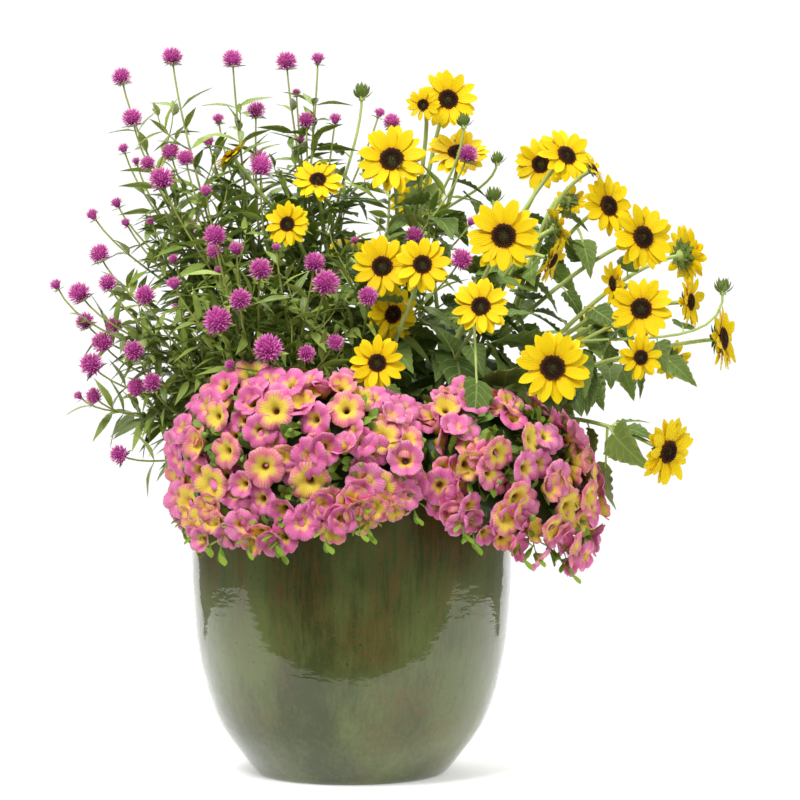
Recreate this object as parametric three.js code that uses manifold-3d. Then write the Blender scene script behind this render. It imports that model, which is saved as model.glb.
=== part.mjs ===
// A glazed pot planted with a globe amaranth, branching sunflowers and two calibrachoa plants.
// Millimetres, +Z up. The origin is the centre of the pot's foot, and the planting's front looks along -Y.
import * as THREE from "three";
import { mergeVertices } from "three/addons/utils/BufferGeometryUtils.js";
import Module from "manifold-3d";

const wasm = await Module();
wasm.setup();

// Driving dimensions of the pot and its soil
const POT_RADIUS = 180;
const POT_HEIGHT = 322;
const WALL = 14;
const FOOT_RADIUS = 106;
const BASE_THICKNESS = 24;
const DRAIN_RADIUS = 8;
const DRAIN_RING = 55;
const POT_SIDES = 24;
const SOIL_TOP = 288;
const ROOT_DEPTH = 18;
const GAP = 0.35;
const STEM_STEPS = 4;

// Flower and leaf sizes shared by the plants
const AMARANTH_LEAF = { length: 62, width: 14, thick: 1.3 };
const SUNFLOWER_LEAF = { length: 84, width: 58, thick: 1.5, petiole: 30 };
const RAY_SPACING = 6.2;
const BLOOM_RADIUS = 20.5;
const BLOOM_SPACING = 38.5;
const BLOOM_START = 0.1;
const FUNNEL_DEPTH = 31;
const SPRIG_COUNT = 16;
const STEM = { amaranth: 3.2, stalk: 1.4, sunflower: 5, neck: 2.3, calibrachoa: 6 };

// Where each leafy stem of the globe amaranth roots and forks, and its flower balls: x, y, z, width
const AMARANTH_SPRAYS = {
  far_left_low: {
    root: [-88, 45],
    fork: [-190, 55, 385],
    heads: [
      [-260, -5, 355, 24], [-240, -15, 430, 24], [-220, -40, 435, 24], [-290, 10, 420, 22],
      [-310, 35, 420, 13],
    ],
  },
  left: {
    root: [-95, 68],
    fork: [-190, 60, 430],
    heads: [
      [-240, -40, 470, 26], [-290, -15, 455, 30], [-280, 5, 480, 28], [-270, 30, 500, 23],
      [-305, 50, 505, 25],
    ],
  },
  left_upper: {
    root: [-84, 26],
    fork: [-170, 15, 455],
    heads: [
      [-225, -65, 530, 26], [-270, -30, 545, 24], [-305, 0, 535, 29], [-335, 30, 545, 16],
      [-285, 20, 580, 27],
    ],
  },
  upper_left: {
    root: [-76, 78],
    fork: [-170, 60, 545],
    heads: [
      [-195, -50, 570, 13], [-225, 0, 615, 11], [-255, 20, 615, 13], [-295, 40, 625, 17],
      [-270, 60, 640, 16], [-250, 80, 690, 12], [-265, 85, 705, 15], [-250, 35, 735, 27],
      [-265, 60, 785, 26],
    ],
  },
  cluster: {
    root: [-68, 50],
    fork: [-150, 10, 570],
    heads: [
      [-160, -45, 645, 16], [-210, -35, 660, 31], [-185, -15, 685, 22], [-228, -5, 680, 20],
      [-205, 22, 695, 25], [-205, 40, 805, 27],
    ],
  },
  tall_mid: {
    root: [-54, 74],
    fork: [-115, 35, 600],
    heads: [
      [-100, -30, 675, 28], [-165, 60, 710, 17], [-155, 75, 738, 16], [-110, 45, 745, 25],
      [-135, 20, 800, 26],
    ],
  },
  tall_right: {
    root: [-34, 52],
    fork: [-50, 45, 610],
    heads: [
      [-60, 62, 712, 14], [-52, 25, 732, 22], [-20, 50, 735, 17], [30, 75, 745, 15],
      [-65, 70, 768, 12], [-75, 40, 800, 27], [-40, 60, 805, 18],
    ],
  },
  front: {
    root: [-72, 4],
    fork: [-115, -60, 460],
    heads: [
      [-140, -145, 500, 34], [-115, -160, 522, 26], [-190, -100, 540, 18], [-95, -130, 555, 28],
      [-142, -95, 556, 11], [-122, -110, 577, 19], [-148, -82, 577, 20], [-145, -115, 592, 28],
    ],
  },
  front_right: {
    root: [-44, 12],
    fork: [-62, -70, 455],
    heads: [
      [-125, -155, 452, 14], [-85, -165, 470, 34], [-45, -150, 465, 21], [-15, -150, 477, 20],
      [-25, -145, 540, 32], [-38, -115, 563, 26], [-80, -100, 580, 11],
    ],
  },
  among: {
    root: [-8, 30],
    fork: [35, -15, 540],
    heads: [
      [20, -125, 527, 24], [120, -110, 567, 27], [5, -60, 590, 11], [70, -25, 598, 24],
      [132, -35, 612, 13], [130, 0, 690, 27], [45, 45, 732, 23],
    ],
  },
  back: {
    root: [-46, 100],
    fork: [-85, 150, 520],
    heads: [
      [-65, 262, 515, 26], [-25, 225, 565, 25], [-80, 200, 640, 26], [-195, 150, 620, 25],
      [-115, 190, 705, 26],
    ],
  },
  back_left: {
    root: [-78, 104],
    fork: [-150, 155, 430],
    heads: [
      [-190, 240, 430, 25], [-120, 268, 470, 24], [-255, 140, 470, 26], [-210, 200, 530, 25],
      [-155, 248, 560, 28],
    ],
  },
};

// Where each sunflower stem roots and forks, its heads (x, y, z, width, turn to the right, tilt up), its
// buds, and the tips and lengths of its largest leaves
const SUNFLOWER_STEMS = {
  front_left: {
    root: [22, 4],
    fork: [42, -55, 455],
    heads: [
      [30, -165, 455, 57, 0, 6], [45, -75, 510, 60, 30, -12], [35, -105, 560, 65, -6, 5],
      [78, -138, 560, 60, -4, 8],
    ],
    buds: [],
    leaves: [],
  },
  back_left: {
    root: [4, 66],
    fork: [-30, 60, 570],
    heads: [[-70, -40, 610, 50, -12, 10], [-38, 2, 662, 56, 0, 35], [-135, 6, 690, 48, -85, 48]],
    buds: [[10, 85, 770, 20]],
    leaves: [[28, -20, 652, 58]],
  },
  top: {
    root: [40, 66],
    fork: [72, 50, 600],
    heads: [
      [45, 0, 685, 79, -6, 14], [120, 35, 695, 70, 0, 42], [80, -15, 745, 38, -10, 2],
      [108, 20, 755, 66, 8, 10],
    ],
    buds: [[125, -20, 725, 17], [165, 50, 690, 16]],
    leaves: [[114, -60, 611, 66]],
  },
  middle: {
    root: [64, 26],
    fork: [125, -35, 500],
    heads: [
      [140, -145, 515, 61, -5, 14], [165, -120, 592, 77, 0, 5], [215, 50, 685, 61, -14, 5],
      [240, 10, 690, 67, 28, 24],
    ],
    buds: [[160, 20, 645, 20]],
    leaves: [[200, -110, 521, 50], [136, -185, 389, 58]],
  },
  upper_right: {
    root: [76, 66],
    fork: [190, 25, 520],
    heads: [
      [220, -55, 570, 52, 70, -28], [228, -20, 608, 48, 105, 22], [320, -50, 595, 73, 25, 5],
      [285, -12, 632, 69, 35, 10], [245, 20, 640, 43, 150, -32], [268, -30, 672, 34, 70, 32],
    ],
    buds: [],
    leaves: [[268, -30, 560, 46]],
  },
  right: {
    root: [88, 32],
    fork: [220, -25, 475],
    heads: [
      [215, -160, 450, 78, 0, 5], [315, -95, 515, 67, -4, 4], [292, -35, 545, 52, -72, -8],
      [375, -22, 525, 56, 62, 0], [375, 25, 580, 66, 120, 8],
    ],
    buds: [[412, -30, 540, 19]],
    leaves: [[167, -130, 468, 78]],
  },
  lower_right: {
    root: [100, 58],
    fork: [250, 62, 445],
    heads: [
      [345, -70, 360, 74, 42, -12], [312, -112, 462, 49, 20, -4], [415, 10, 485, 73, 66, 5],
      [365, 60, 462, 46, 150, -10],
    ],
    buds: [],
    leaves: [[310, -90, 347, 72], [334, -60, 381, 44], [284, 22, 288, 58], [388, 10, 436, 42]],
  },
  back: {
    root: [62, 104],
    fork: [110, 140, 490],
    heads: [
      [-10, 235, 590, 60, 200, 12], [185, 245, 585, 70, 168, 10], [285, 175, 500, 62, 135, 0],
      [75, 200, 655, 66, 185, 18],
    ],
    buds: [[120, 268, 500, 19]],
    leaves: [[170, 180, 430, 74], [20, 215, 470, 66]],
  },
};

// The cross-section of each calibrachoa mound as it runs round the rim, an arc of flowers that then hangs
// straight down: angle from the front to the right in degrees, the arc's centre radius and height, its own
// radius and the drop.
const MOUNDS = {
  left: {
    seed: 5,
    stem: { root: [-86, -104], fork: [-98, -118, 360] },
    keys: [
      [-76, 156, 352, 32, 24], [-66, 158, 356, 42, 44], [-56, 160, 362, 60, 60],
      [-38, 164, 364, 76, 66], [-16, 166, 364, 76, 62], [4, 164, 356, 72, 44],
      [19, 160, 346, 58, 16],
    ],
  },
  right: {
    seed: 6,
    stem: { root: [118, -70], fork: [136, -82, 360] },
    keys: [
      [25, 164, 344, 54, 30], [38, 170, 350, 72, 46], [54, 180, 340, 80, 58],
      [72, 192, 324, 84, 62], [86, 192, 314, 78, 42], [98, 184, 318, 60, 20],
    ],
  },
};
const ARC_TOP = 112;
const ARC_FOOT = -14;
const DROP_LEAN = 0.12;
const CORE_INSET = 19;
const WALL_STAND_OFF = 8;

// Colours
const GLAZE = material(0x566242, 0.16);
const SOIL = material(0x3b2a20, 0.95);
const AMARANTH = material(0xc656ad, 0.8);
const STEM_GREEN = material(0x5f7d33, 0.75);
const RAY_YELLOW = material(0xf6cf10, 0.65);
const CALIBRACHOA = material(0xe287ac, 0.7);

function material(color, roughness) {
  return new THREE.MeshStandardMaterial({ color, roughness, metalness: 0 });
}

// Seeded random numbers from 0 to 1
function randomFrom(seed) {
  let state = seed >>> 0;
  return () => {
    state = (state + 0x6d2b79f5) >>> 0;
    let t = Math.imul(state ^ (state >>> 15), state | 1);
    t ^= t + Math.imul(t ^ (t >>> 7), t | 61);
    return ((t ^ (t >>> 14)) >>> 0) / 4294967296;
  };
}

const vec = (x, y, z) => new THREE.Vector3(x, y, z);
const along = (from, direction, distance) => from.clone().addScaledVector(direction, distance);
const UP = vec(0, 0, 1);

// A direction at right angles to another, turned by an angle about it
function sideOf(direction, angle) {
  const helper = Math.abs(direction.z) > 0.85 ? vec(1, 0, 0) : UP;
  const side = vec().crossVectors(direction, helper).normalize();
  return side.applyAxisAngle(direction, angle);
}

// Solids for joining and cutting
function solidFrom(points, triangles) {
  const build = (faces) =>
    new wasm.Manifold(
      new wasm.Mesh({
        numProp: 3,
        vertProperties: new Float32Array(points.flatMap((p) => [p.x, p.y, p.z])),
        triVerts: new Uint32Array(faces.flat()),
      }),
    );
  const made = build(triangles);
  return made.volume() > 0 ? made : build(triangles.map(([a, b, c]) => [a, c, b]));
}

function pointsOf(position) {
  return Array.from({ length: position.count }, (_, i) => vec().fromBufferAttribute(position, i));
}

function solidOf(geometry) {
  const bare = new THREE.BufferGeometry();
  const source = geometry.index ? geometry.toNonIndexed() : geometry;
  bare.setAttribute("position", source.getAttribute("position"));
  const merged = mergeVertices(bare, 1e-3);
  const corners = merged.index.array;
  const position = merged.getAttribute("position");
  const points = pointsOf(position);
  const triangles = [];
  for (let i = 0; i < corners.length; i += 3) {
    const face = [corners[i], corners[i + 1], corners[i + 2]];
    if (new Set(face).size === 3) triangles.push(face);
  }
  return solidFrom(points, triangles);
}

function geometryOf(solid) {
  const mesh = solid.getMesh();
  const geometry = new THREE.BufferGeometry();
  geometry.setAttribute("position", new THREE.BufferAttribute(mesh.vertProperties, 3));
  geometry.setIndex(new THREE.BufferAttribute(mesh.triVerts, 1));
  return geometry;
}

// Every solid placed so far, so that a leaf can be bent clear of what belongs to another node
const placed = [];

function boxesMeet(a, b, reach) {
  return [0, 1, 2].every((k) => a.min[k] - reach < b.max[k] && b.min[k] - reach < a.max[k]);
}

function place(owner, solid, kind) {
  const item = { owner, solid, kind, box: solid.boundingBox() };
  placed.push(item);
  return item;
}

function isClear(solid, owner, ownKinds, host) {
  const box = solid.boundingBox();
  return placed.every((other) => {
    if (other === host || (other.owner === owner && !ownKinds.includes(other.kind))) return true;
    if (!boxesMeet(box, other.box, GAP)) return true;
    return solid.minGap(other.solid, GAP * 2) >= GAP;
  });
}

function ownSolids(owner) {
  return placed.filter((item) => item.owner === owner).map((item) => item.solid);
}

// The pot: a turned wall with a rolled lip on a flat base, and drain holes through the base
function potProfile() {
  const outer = [
    [FOOT_RADIUS - 4, 0], [FOOT_RADIUS + 3, 5], [137, 40], [155.5, 74], [170, 126], [POT_RADIUS - 3, 185],
    [POT_RADIUS, 242], [POT_RADIUS - 3, POT_HEIGHT - 5],
  ];
  const lip = [[POT_RADIUS - 7, POT_HEIGHT], [POT_RADIUS - WALL, POT_HEIGHT - 3]];
  const inner = [[POT_RADIUS - WALL, 242], [153, 126], [124, 52], [104, BASE_THICKNESS]];
  return { outer, lip, inner };
}

function turned(profile) {
  const points = profile.map(([r, z]) => new THREE.Vector2(r, z));
  const geometry = new THREE.LatheGeometry(points, POT_SIDES);
  return solidOf(geometry.rotateX(Math.PI / 2));
}

function potSolid() {
  const { outer, lip, inner } = potProfile();
  const drains = [0, 1, 2].map((k) => {
    const angle = (k * 2 * Math.PI) / 3;
    const hole = new THREE.CylinderGeometry(DRAIN_RADIUS, DRAIN_RADIUS, BASE_THICKNESS * 3, 6);
    const spot = [Math.cos(angle) * DRAIN_RING, Math.sin(angle) * DRAIN_RING, 0];
    return solidOf(hole.rotateX(Math.PI / 2).translate(...spot));
  });
  const body = turned([[0, 0], ...outer, ...lip, ...inner, [0, BASE_THICKNESS]]);
  return body.subtract(wasm.Manifold.union(drains));
}

// The soil follows the pot's inner wall at a small gap, up to a flat surface with a hole for each stem
function soilSolid(holes) {
  const wall = potProfile().inner.map(([r, z]) => [r - GAP * 1.5, z + GAP]).reverse();
  const shoulder = [POT_RADIUS - WALL - 1, SOIL_TOP - 4];
  const profile = [[0, BASE_THICKNESS + GAP], ...wall, shoulder, [150, SOIL_TOP], [0, SOIL_TOP]];
  return turned(profile).subtract(wasm.Manifold.union(holes));
}

// A stem rises almost straight out of the soil and bends over towards its fork
function stemPath(root, fork, depth) {
  const foot = vec(root[0], root[1], SOIL_TOP - depth);
  const tip = vec(...fork);
  const rise = tip.z - SOIL_TOP;
  const lift = along(foot, UP, rise * 0.45);
  const bend = foot.clone().lerp(tip, 0.55).setZ(tip.z - rise * 0.3);
  return new THREE.CubicBezierCurve3(foot, lift, bend, tip);
}

// A point on a stem's axis, which runs straight between the stem's steps, with its direction there
function onSpine(spine, share) {
  const place = share * (spine.length - 1);
  const i = Math.min(spine.length - 2, Math.floor(place));
  const direction = spine[i + 1].clone().sub(spine[i]).normalize();
  return { point: spine[i].clone().lerp(spine[i + 1], place - i), direction };
}

// A stalk leaves its stem at a slant and ends on the flower's axis
function stalkPath({ point, direction }, end, facing, bow) {
  const reach = point.distanceTo(end);
  const away = direction.clone().lerp(end.clone().sub(point).normalize(), 0.7);
  const lift = along(along(point, away, reach * 0.34), UP, reach * 0.08).add(bow);
  const arrival = along(end, facing, -reach * 0.3).addScaledVector(bow, 0.6);
  return new THREE.CubicBezierCurve3(point, lift, arrival, end);
}

// Capsules, two end points and a radius, stand in for stalks and flowers while stalks are routed
function segmentGap(a, b, c, d) {
  const u = b.clone().sub(a);
  const v = d.clone().sub(c);
  const w = a.clone().sub(c);
  const uu = u.dot(u);
  const vv = v.dot(v);
  const uv = u.dot(v);
  const uw = u.dot(w);
  const vw = v.dot(w);
  const spread = uu * vv - uv * uv;
  const clamp = (value) => Math.min(1, Math.max(0, value));
  let s = spread > 1e-9 ? clamp((uv * vw - vv * uw) / spread) : 0;
  const t = vv > 1e-9 ? clamp((uv * s + vw) / vv) : 0;
  s = uu > 1e-9 ? clamp((uv * t - uw) / uu) : 0;
  return along(a, u, s).distanceTo(along(c, v, t));
}

const capsules = [];
const CAPSULE_MARGIN = 1.2;
const LONG_STALK = 130;

function capsulesAlong(spine, radius, owner) {
  return spine.slice(1).map((point, i) => ({ owner, a: spine[i], b: point, radius }));
}

function crossings(candidate, ownHead) {
  let worst = 0;
  for (const piece of candidate)
    for (const other of capsules) {
      if (other.owner === piece.owner || other.owner === ownHead) continue;
      const apart = segmentGap(piece.a, piece.b, other.a, other.b) - piece.radius - other.radius;
      worst = Math.min(worst, apart - CAPSULE_MARGIN);
    }
  return -worst;
}

// Bows a stalk sideways, a step at a time, until it clears every other plant
function routeStalk(fork, end, facing, radius, owner, ownHead) {
  const direction = end.clone().sub(fork.point).normalize();
  const steps = fork.point.distanceTo(end) < LONG_STALK ? 2 : 3;
  let best = null;
  for (const bowing of [0, 10, 20, 32, 46])
    for (const turn of bowing ? [0, 1, 2, 3, 4, 5] : [0]) {
      const bow = sideOf(direction, (turn * Math.PI) / 3).multiplyScalar(bowing);
      const curve = stalkPath(fork, end, facing, bow);
      const spine = curve.getSpacedPoints(steps);
      const clash = crossings(capsulesAlong(spine, radius, owner), ownHead);
      if (!best || clash < best.clash - 0.5) best = { curve, spine, steps, clash };
      if (clash === 0) return best;
    }
  return best;
}

function facingOf(turn, tilt) {
  const yaw = THREE.MathUtils.degToRad(turn);
  const pitch = THREE.MathUtils.degToRad(tilt);
  return vec(Math.sin(yaw) * Math.cos(pitch), -Math.cos(yaw) * Math.cos(pitch), Math.sin(pitch));
}

function stemSolid(curve, radius, steps) {
  const section = new THREE.Shape([0, 1, 2].map((k) => {
    const angle = (k * 2 * Math.PI) / 3;
    return new THREE.Vector2(Math.cos(angle) * radius, Math.sin(angle) * radius);
  }));
  return solidOf(new THREE.ExtrudeGeometry(section, { steps, extrudePath: curve }));
}

// The hole that a stem stands in: its own form a little wider and deeper
function holeSolid({ root, fork }, radius) {
  return stemSolid(stemPath(root, fork, ROOT_DEPTH + GAP), radius + GAP * 2, STEM_STEPS);
}

// A blade with a raised midrib that arches down to its tip
function bladeSolid(root, direction, side, size, arch) {
  const normal = vec().crossVectors(side, direction).normalize();
  const at = (u, v, w) => along(along(along(root, direction, u), side, v), normal, w);
  const { length, width, thick } = size;
  const points = [
    at(0, 0, 0),
    at(length * 0.42, width / 2, arch * 0.3),
    at(length, 0, -arch),
    at(length * 0.42, -width / 2, arch * 0.3),
    at(length * 0.42, 0, arch * 0.3 + thick),
  ];
  return solidFrom(points, [[0, 1, 4], [1, 2, 4], [2, 3, 4], [3, 0, 4], [0, 3, 1], [3, 2, 1]]);
}

// A heart-shaped blade with coarse teeth down each side, in one piece with its leaf stalk
function toothedLeafSolid(root, direction, side, size) {
  const normal = vec().crossVectors(side, direction).normalize();
  const { length, width, thick, petiole } = size;
  const droop = (u) => -0.16 * length * Math.max(0, u / length) ** 2;
  const at = (u, v, w) => {
    const flat = along(along(root, direction, u + petiole), side, v);
    return along(flat, normal, w + droop(u));
  };
  const halfEdge = [[-0.08, 0.6], [0.26, 1], [0.5, 0.55], [0.62, 0.6]];
  const half = (sign) =>
    halfEdge.map(([u, v]) => at(u * length, (sign * v * width) / 2, v * width * 0.06));
  const neck = [1.6, -1.6].map((v) => at(0, v, 0));
  const edge = [neck[0], ...half(1), at(length, 0, 0), ...half(-1).reverse(), neck[1]];
  const ribTop = edge.length;
  const rib = [thick * 0.6, -thick * 0.6].map((w) => at(length * 0.3, 0, w));
  const rootEnds = [thick * 0.6, -thick * 0.6].map((w) => at(-petiole, 0, w));
  const [rootTop, rootUnder] = [ribTop + 2, ribTop + 3];
  const triangles = [];
  for (let i = 0; i + 1 < edge.length; i += 1)
    triangles.push([i, i + 1, ribTop], [i + 1, i, ribTop + 1]);
  triangles.push([rootTop, 0, ribTop], [rootTop, ribTop, edge.length - 1], [rootTop, rootUnder, 0]);
  triangles.push([rootUnder, 0, ribTop + 1], [rootUnder, ribTop + 1, edge.length - 1]);
  triangles.push([rootTop, edge.length - 1, rootUnder]);
  return solidFrom([...edge, ...rib, ...rootEnds], orientated(triangles));
}

// A ball of bracts: a core whose faces are drawn out to points, all but the one that the stalk enters
function bractBall(centre, facing, across, core, random) {
  const radius = across / 2;
  const turn = new THREE.Quaternion().setFromUnitVectors(core.face, facing.clone().negate());
  const spin = new THREE.Quaternion().setFromAxisAngle(facing, random() * Math.PI);
  const merged = mergeVertices(core.geometry, 1e-4);
  const position = merged.getAttribute("position");
  const points = pointsOf(position).map((point) =>
    point.applyQuaternion(turn).applyQuaternion(spin).multiplyScalar(radius * core.share),
  );
  const triangles = [];
  for (let i = 0; i < merged.index.count; i += 3) {
    const [a, b, c] = [0, 1, 2].map((k) => merged.index.array[i + k]);
    const middle = points[a].clone().add(points[b]).add(points[c]).normalize();
    if (middle.dot(facing) < -0.99) {
      triangles.push([a, b, c]);
      continue;
    }
    points.push(middle.multiplyScalar(radius * (0.94 + 0.06 * random())));
    const tip = points.length - 1;
    triangles.push([a, b, tip], [b, c, tip], [c, a, tip]);
  }
  return solidFrom(points.map((p) => p.add(centre)), triangles);
}

function bareGeometry(geometry) {
  return new THREE.BufferGeometry().setAttribute("position", geometry.getAttribute("position"));
}

function faceMiddle(geometry) {
  const position = geometry.getAttribute("position");
  const corners = [0, 1, 2].map((i) => vec().fromBufferAttribute(position, i));
  return corners[0].add(corners[1]).add(corners[2]).normalize();
}

const BALL_CORE = { geometry: bareGeometry(new THREE.OctahedronGeometry(1, 0)), share: 0.76 };
BALL_CORE.face = faceMiddle(BALL_CORE.geometry);

// A sunflower head: a flat-backed ring that parts into pointed rays round a domed disc
function rayHeadSolid(centre, facing, across, random) {
  const rays = Math.max(8, Math.round(across / RAY_SPACING));
  const right = sideOf(facing, random() * Math.PI);
  const over = vec().crossVectors(facing, right);
  const at = (radius, angle, height) => {
    const flat = along(along(centre, right, radius * Math.cos(angle)), over, radius * Math.sin(angle));
    return along(flat, facing, height);
  };
  const pitch = (2 * Math.PI) / rays;
  const points = [at(0, 0, 0), at(0, 0, 4)];
  const triangles = [];
  for (let i = 0; i < rays; i += 1) {
    const [edge, middle] = [(i - 0.5) * pitch, i * pitch];
    points.push(at(across * 0.31, edge, 1.4), at(across * 0.17, edge, 3 + 2 * (i % 2)));
    points.push(at(across * 0.36, middle, 3.8));
    points.push(at(across * (0.46 + 0.04 * random()), middle, 2 + 4 * random()));
  }
  for (let i = 0; i < rays; i += 1) {
    const [near, nearDisc, rib, tip] = [2, 3, 4, 5].map((k) => k + i * 4);
    const [far, farDisc] = [2, 3].map((k) => k + ((i + 1) % rays) * 4);
    triangles.push([near, tip, rib], [tip, far, rib], [near, far, tip], [0, near, far]);
    triangles.push([rib, far, farDisc], [rib, farDisc, nearDisc], [rib, nearDisc, near]);
    triangles.push([nearDisc, 1, farDisc]);
  }
  return solidFrom(points, orientated(triangles));
}

// Makes every triangle of a closed surface run the same way round as its neighbours
function orientated(triangles) {
  const key = (a, b) => `${a},${b}`;
  const byEdge = new Map();
  triangles.forEach((face, i) => {
    face.forEach((corner, k) => {
      const next = face[(k + 1) % 3];
      const name = corner < next ? key(corner, next) : key(next, corner);
      byEdge.set(name, [...(byEdge.get(name) ?? []), i]);
    });
  });
  const done = new Array(triangles.length).fill(null);
  done[0] = triangles[0];
  const queue = [0];
  while (queue.length) {
    const face = done[queue.pop()];
    face.forEach((corner, k) => {
      const next = face[(k + 1) % 3];
      const name = corner < next ? key(corner, next) : key(next, corner);
      for (const i of byEdge.get(name)) {
        if (done[i]) continue;
        const [a, b, c] = triangles[i];
        const sameWay = [[a, b], [b, c], [c, a]].some(([p, q]) => p === corner && q === next);
        done[i] = sameWay ? [a, c, b] : [a, b, c];
        queue.push(i);
      }
    });
  }
  return done;
}

// The green cup behind a sunflower: a star of bracts that draws in to a small flat face for the stalk
function calyxSolid(centre, facing, across) {
  const bracts = 5;
  const right = sideOf(facing, 0);
  const over = vec().crossVectors(facing, right);
  const at = (radius, angle, height) => {
    const flat = along(along(centre, right, radius * Math.cos(angle)), over, radius * Math.sin(angle));
    return along(flat, facing, height);
  };
  const rim = bracts * 2;
  const points = [at(0, 0, -GAP)];
  for (let i = 0; i < rim; i += 1) {
    const [reach, height] = i % 2 ? [0.14, -GAP] : [0.26, -GAP - across * 0.04];
    points.push(at(across * reach, (i * 2 * Math.PI) / rim, height));
  }
  const neck = [0, 3, 7];
  for (const i of neck) points.push(at(STEM.neck * 2.6, (i * 2 * Math.PI) / rim, -across * 0.13));
  const triangles = [[rim + 1, rim + 2, rim + 3]];
  for (let i = 0; i < rim; i += 1) {
    const [near, far] = [1 + i, 1 + ((i + 1) % rim)];
    const corner = 1 + rim + neck.findLastIndex((start) => i >= start);
    triangles.push([0, near, far], [near, far, corner]);
  }
  neck.forEach((_, k) => {
    const shared = 1 + ((neck[k + 1] ?? rim) % rim);
    triangles.push([1 + rim + k, 1 + rim + ((k + 1) % 3), shared]);
  });
  return solidFrom(points, orientated(triangles));
}

// A point of a calibrachoa mound's flower surface, with its outward direction.
// round is the angle round the pot in degrees, and share runs from the top behind to the hanging foot.
function moundSection(keys, round) {
  const last = keys.length - 1;
  const i = Math.min(last - 1, Math.max(0, keys.findIndex((key) => key[0] > round) - 1));
  const before = round >= keys[last][0] ? last - 1 : i;
  const [low, high] = [keys[before], keys[before + 1]];
  const mix = Math.min(1, Math.max(0, (round - low[0]) / (high[0] - low[0])));
  const [, radius, height, arc, drop] = low.map((value, k) => THREE.MathUtils.lerp(value, high[k], mix));
  return { radius, height, arc, drop };
}

function moundPoint(keys, round, share, inset) {
  const { radius, height, arc, drop } = moundSection(keys, round);
  const sweep = THREE.MathUtils.degToRad(ARC_TOP - ARC_FOOT);
  const arcLength = arc * sweep;
  const distance = share * (arcLength + drop);
  const turn = THREE.MathUtils.degToRad(ARC_TOP) - Math.min(distance, arcLength) / arc;
  const below = Math.max(0, distance - arcLength);
  const lean = below > 0 ? -DROP_LEAN : Math.sin(turn);
  const reach = radius + (arc - inset) * Math.cos(turn) - below * DROP_LEAN;
  const level = height + (arc - inset) * Math.sin(turn) - below;
  const angle = THREE.MathUtils.degToRad(round);
  const outward = vec(Math.sin(angle), -Math.cos(angle), 0);
  const normal = outward.clone().multiplyScalar(Math.cos(turn)).addScaledVector(UP, lean).normalize();
  const point = outward.clone().multiplyScalar(reach).setZ(level);
  return { point, normal, reach, length: arcLength + drop };
}

// The leafy core of a mound: its flower surface drawn in, closed over the lip and down outside the wall
function moundCore(keys) {
  const shares = [0, 0.2, 0.4, 0.6, 0.8, 0.97];
  const points = [];
  const rounds = keys.map((key) => key[0]);
  const inner = POT_RADIUS + WALL_STAND_OFF;
  for (const round of rounds) {
    const angle = THREE.MathUtils.degToRad(round);
    const at = (reach, level) => vec(Math.sin(angle) * reach, -Math.cos(angle) * reach, level);
    const outer = shares.map((share) => moundPoint(keys, round, share, CORE_INSET));
    outer.forEach(({ reach, point }, k) => {
      points.push(at(k > 2 ? Math.max(reach, inner + 3) : reach, point.z));
    });
    const foot = outer[shares.length - 1].point.z;
    const back = outer[0].reach;
    points.push(at(inner, foot), at(inner, POT_HEIGHT + GAP), at(back, POT_HEIGHT + GAP));
  }
  const ring = shares.length + 3;
  const triangles = [];
  for (let i = 0; i + 1 < rounds.length; i += 1)
    for (let k = 0; k < ring; k += 1) {
      const [a, b] = [i * ring + k, i * ring + ((k + 1) % ring)];
      triangles.push([a, b, b + ring], [a, b + ring, a + ring]);
    }
  const cap = (offset, flip) => {
    const outline = points.slice(offset, offset + ring);
    const flat = outline.map((p) => new THREE.Vector2(Math.hypot(p.x, p.y), p.z));
    THREE.ShapeUtils.triangulateShape(flat, []).forEach(([a, b, c]) => {
      triangles.push(flip ? [offset + a, offset + c, offset + b] : [offset + a, offset + b, offset + c]);
    });
  };
  cap(0, false);
  cap((rounds.length - 1) * ring, true);
  return solidFrom(points, orientated(triangles));
}

// A five-lobed funnel flower on a slim tube
function funnelSolid(centre, normal, radius, spin, depth) {
  const right = sideOf(normal, spin);
  const over = vec().crossVectors(normal, right);
  const at = (reach, angle, height) => {
    const flat = along(along(centre, right, reach * Math.cos(angle)), over, reach * Math.sin(angle));
    return along(flat, normal, height);
  };
  const rim = 10;
  const points = [at(0, 0, -radius * 0.3), at(0, 0, -depth)];
  for (let i = 0; i < rim; i += 1) {
    const [reach, height] = i % 2 ? [0.78, 0.8] : [1, -1];
    points.push(at(radius * reach, (i * 2 * Math.PI) / rim, height));
  }
  const tube = [0, 3, 7];
  for (const i of tube) points.push(at(4, (i * 2 * Math.PI) / rim, -radius * 0.42));
  const triangles = [];
  for (let i = 0; i < rim; i += 1) {
    const near = 2 + i;
    const far = 2 + ((i + 1) % rim);
    const corner = 2 + rim + (tube.findLastIndex((start) => i >= start));
    triangles.push([near, far, 0], [near, far, corner]);
  }
  tube.forEach((start, k) => {
    const [corner, next] = [2 + rim + k, 2 + rim + ((k + 1) % 3)];
    const shared = 2 + (tube[k + 1] ?? rim) % rim;
    triangles.push([corner, next, shared], [corner, next, 1]);
  });
  return solidFrom(points, orientated(triangles));
}

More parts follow.
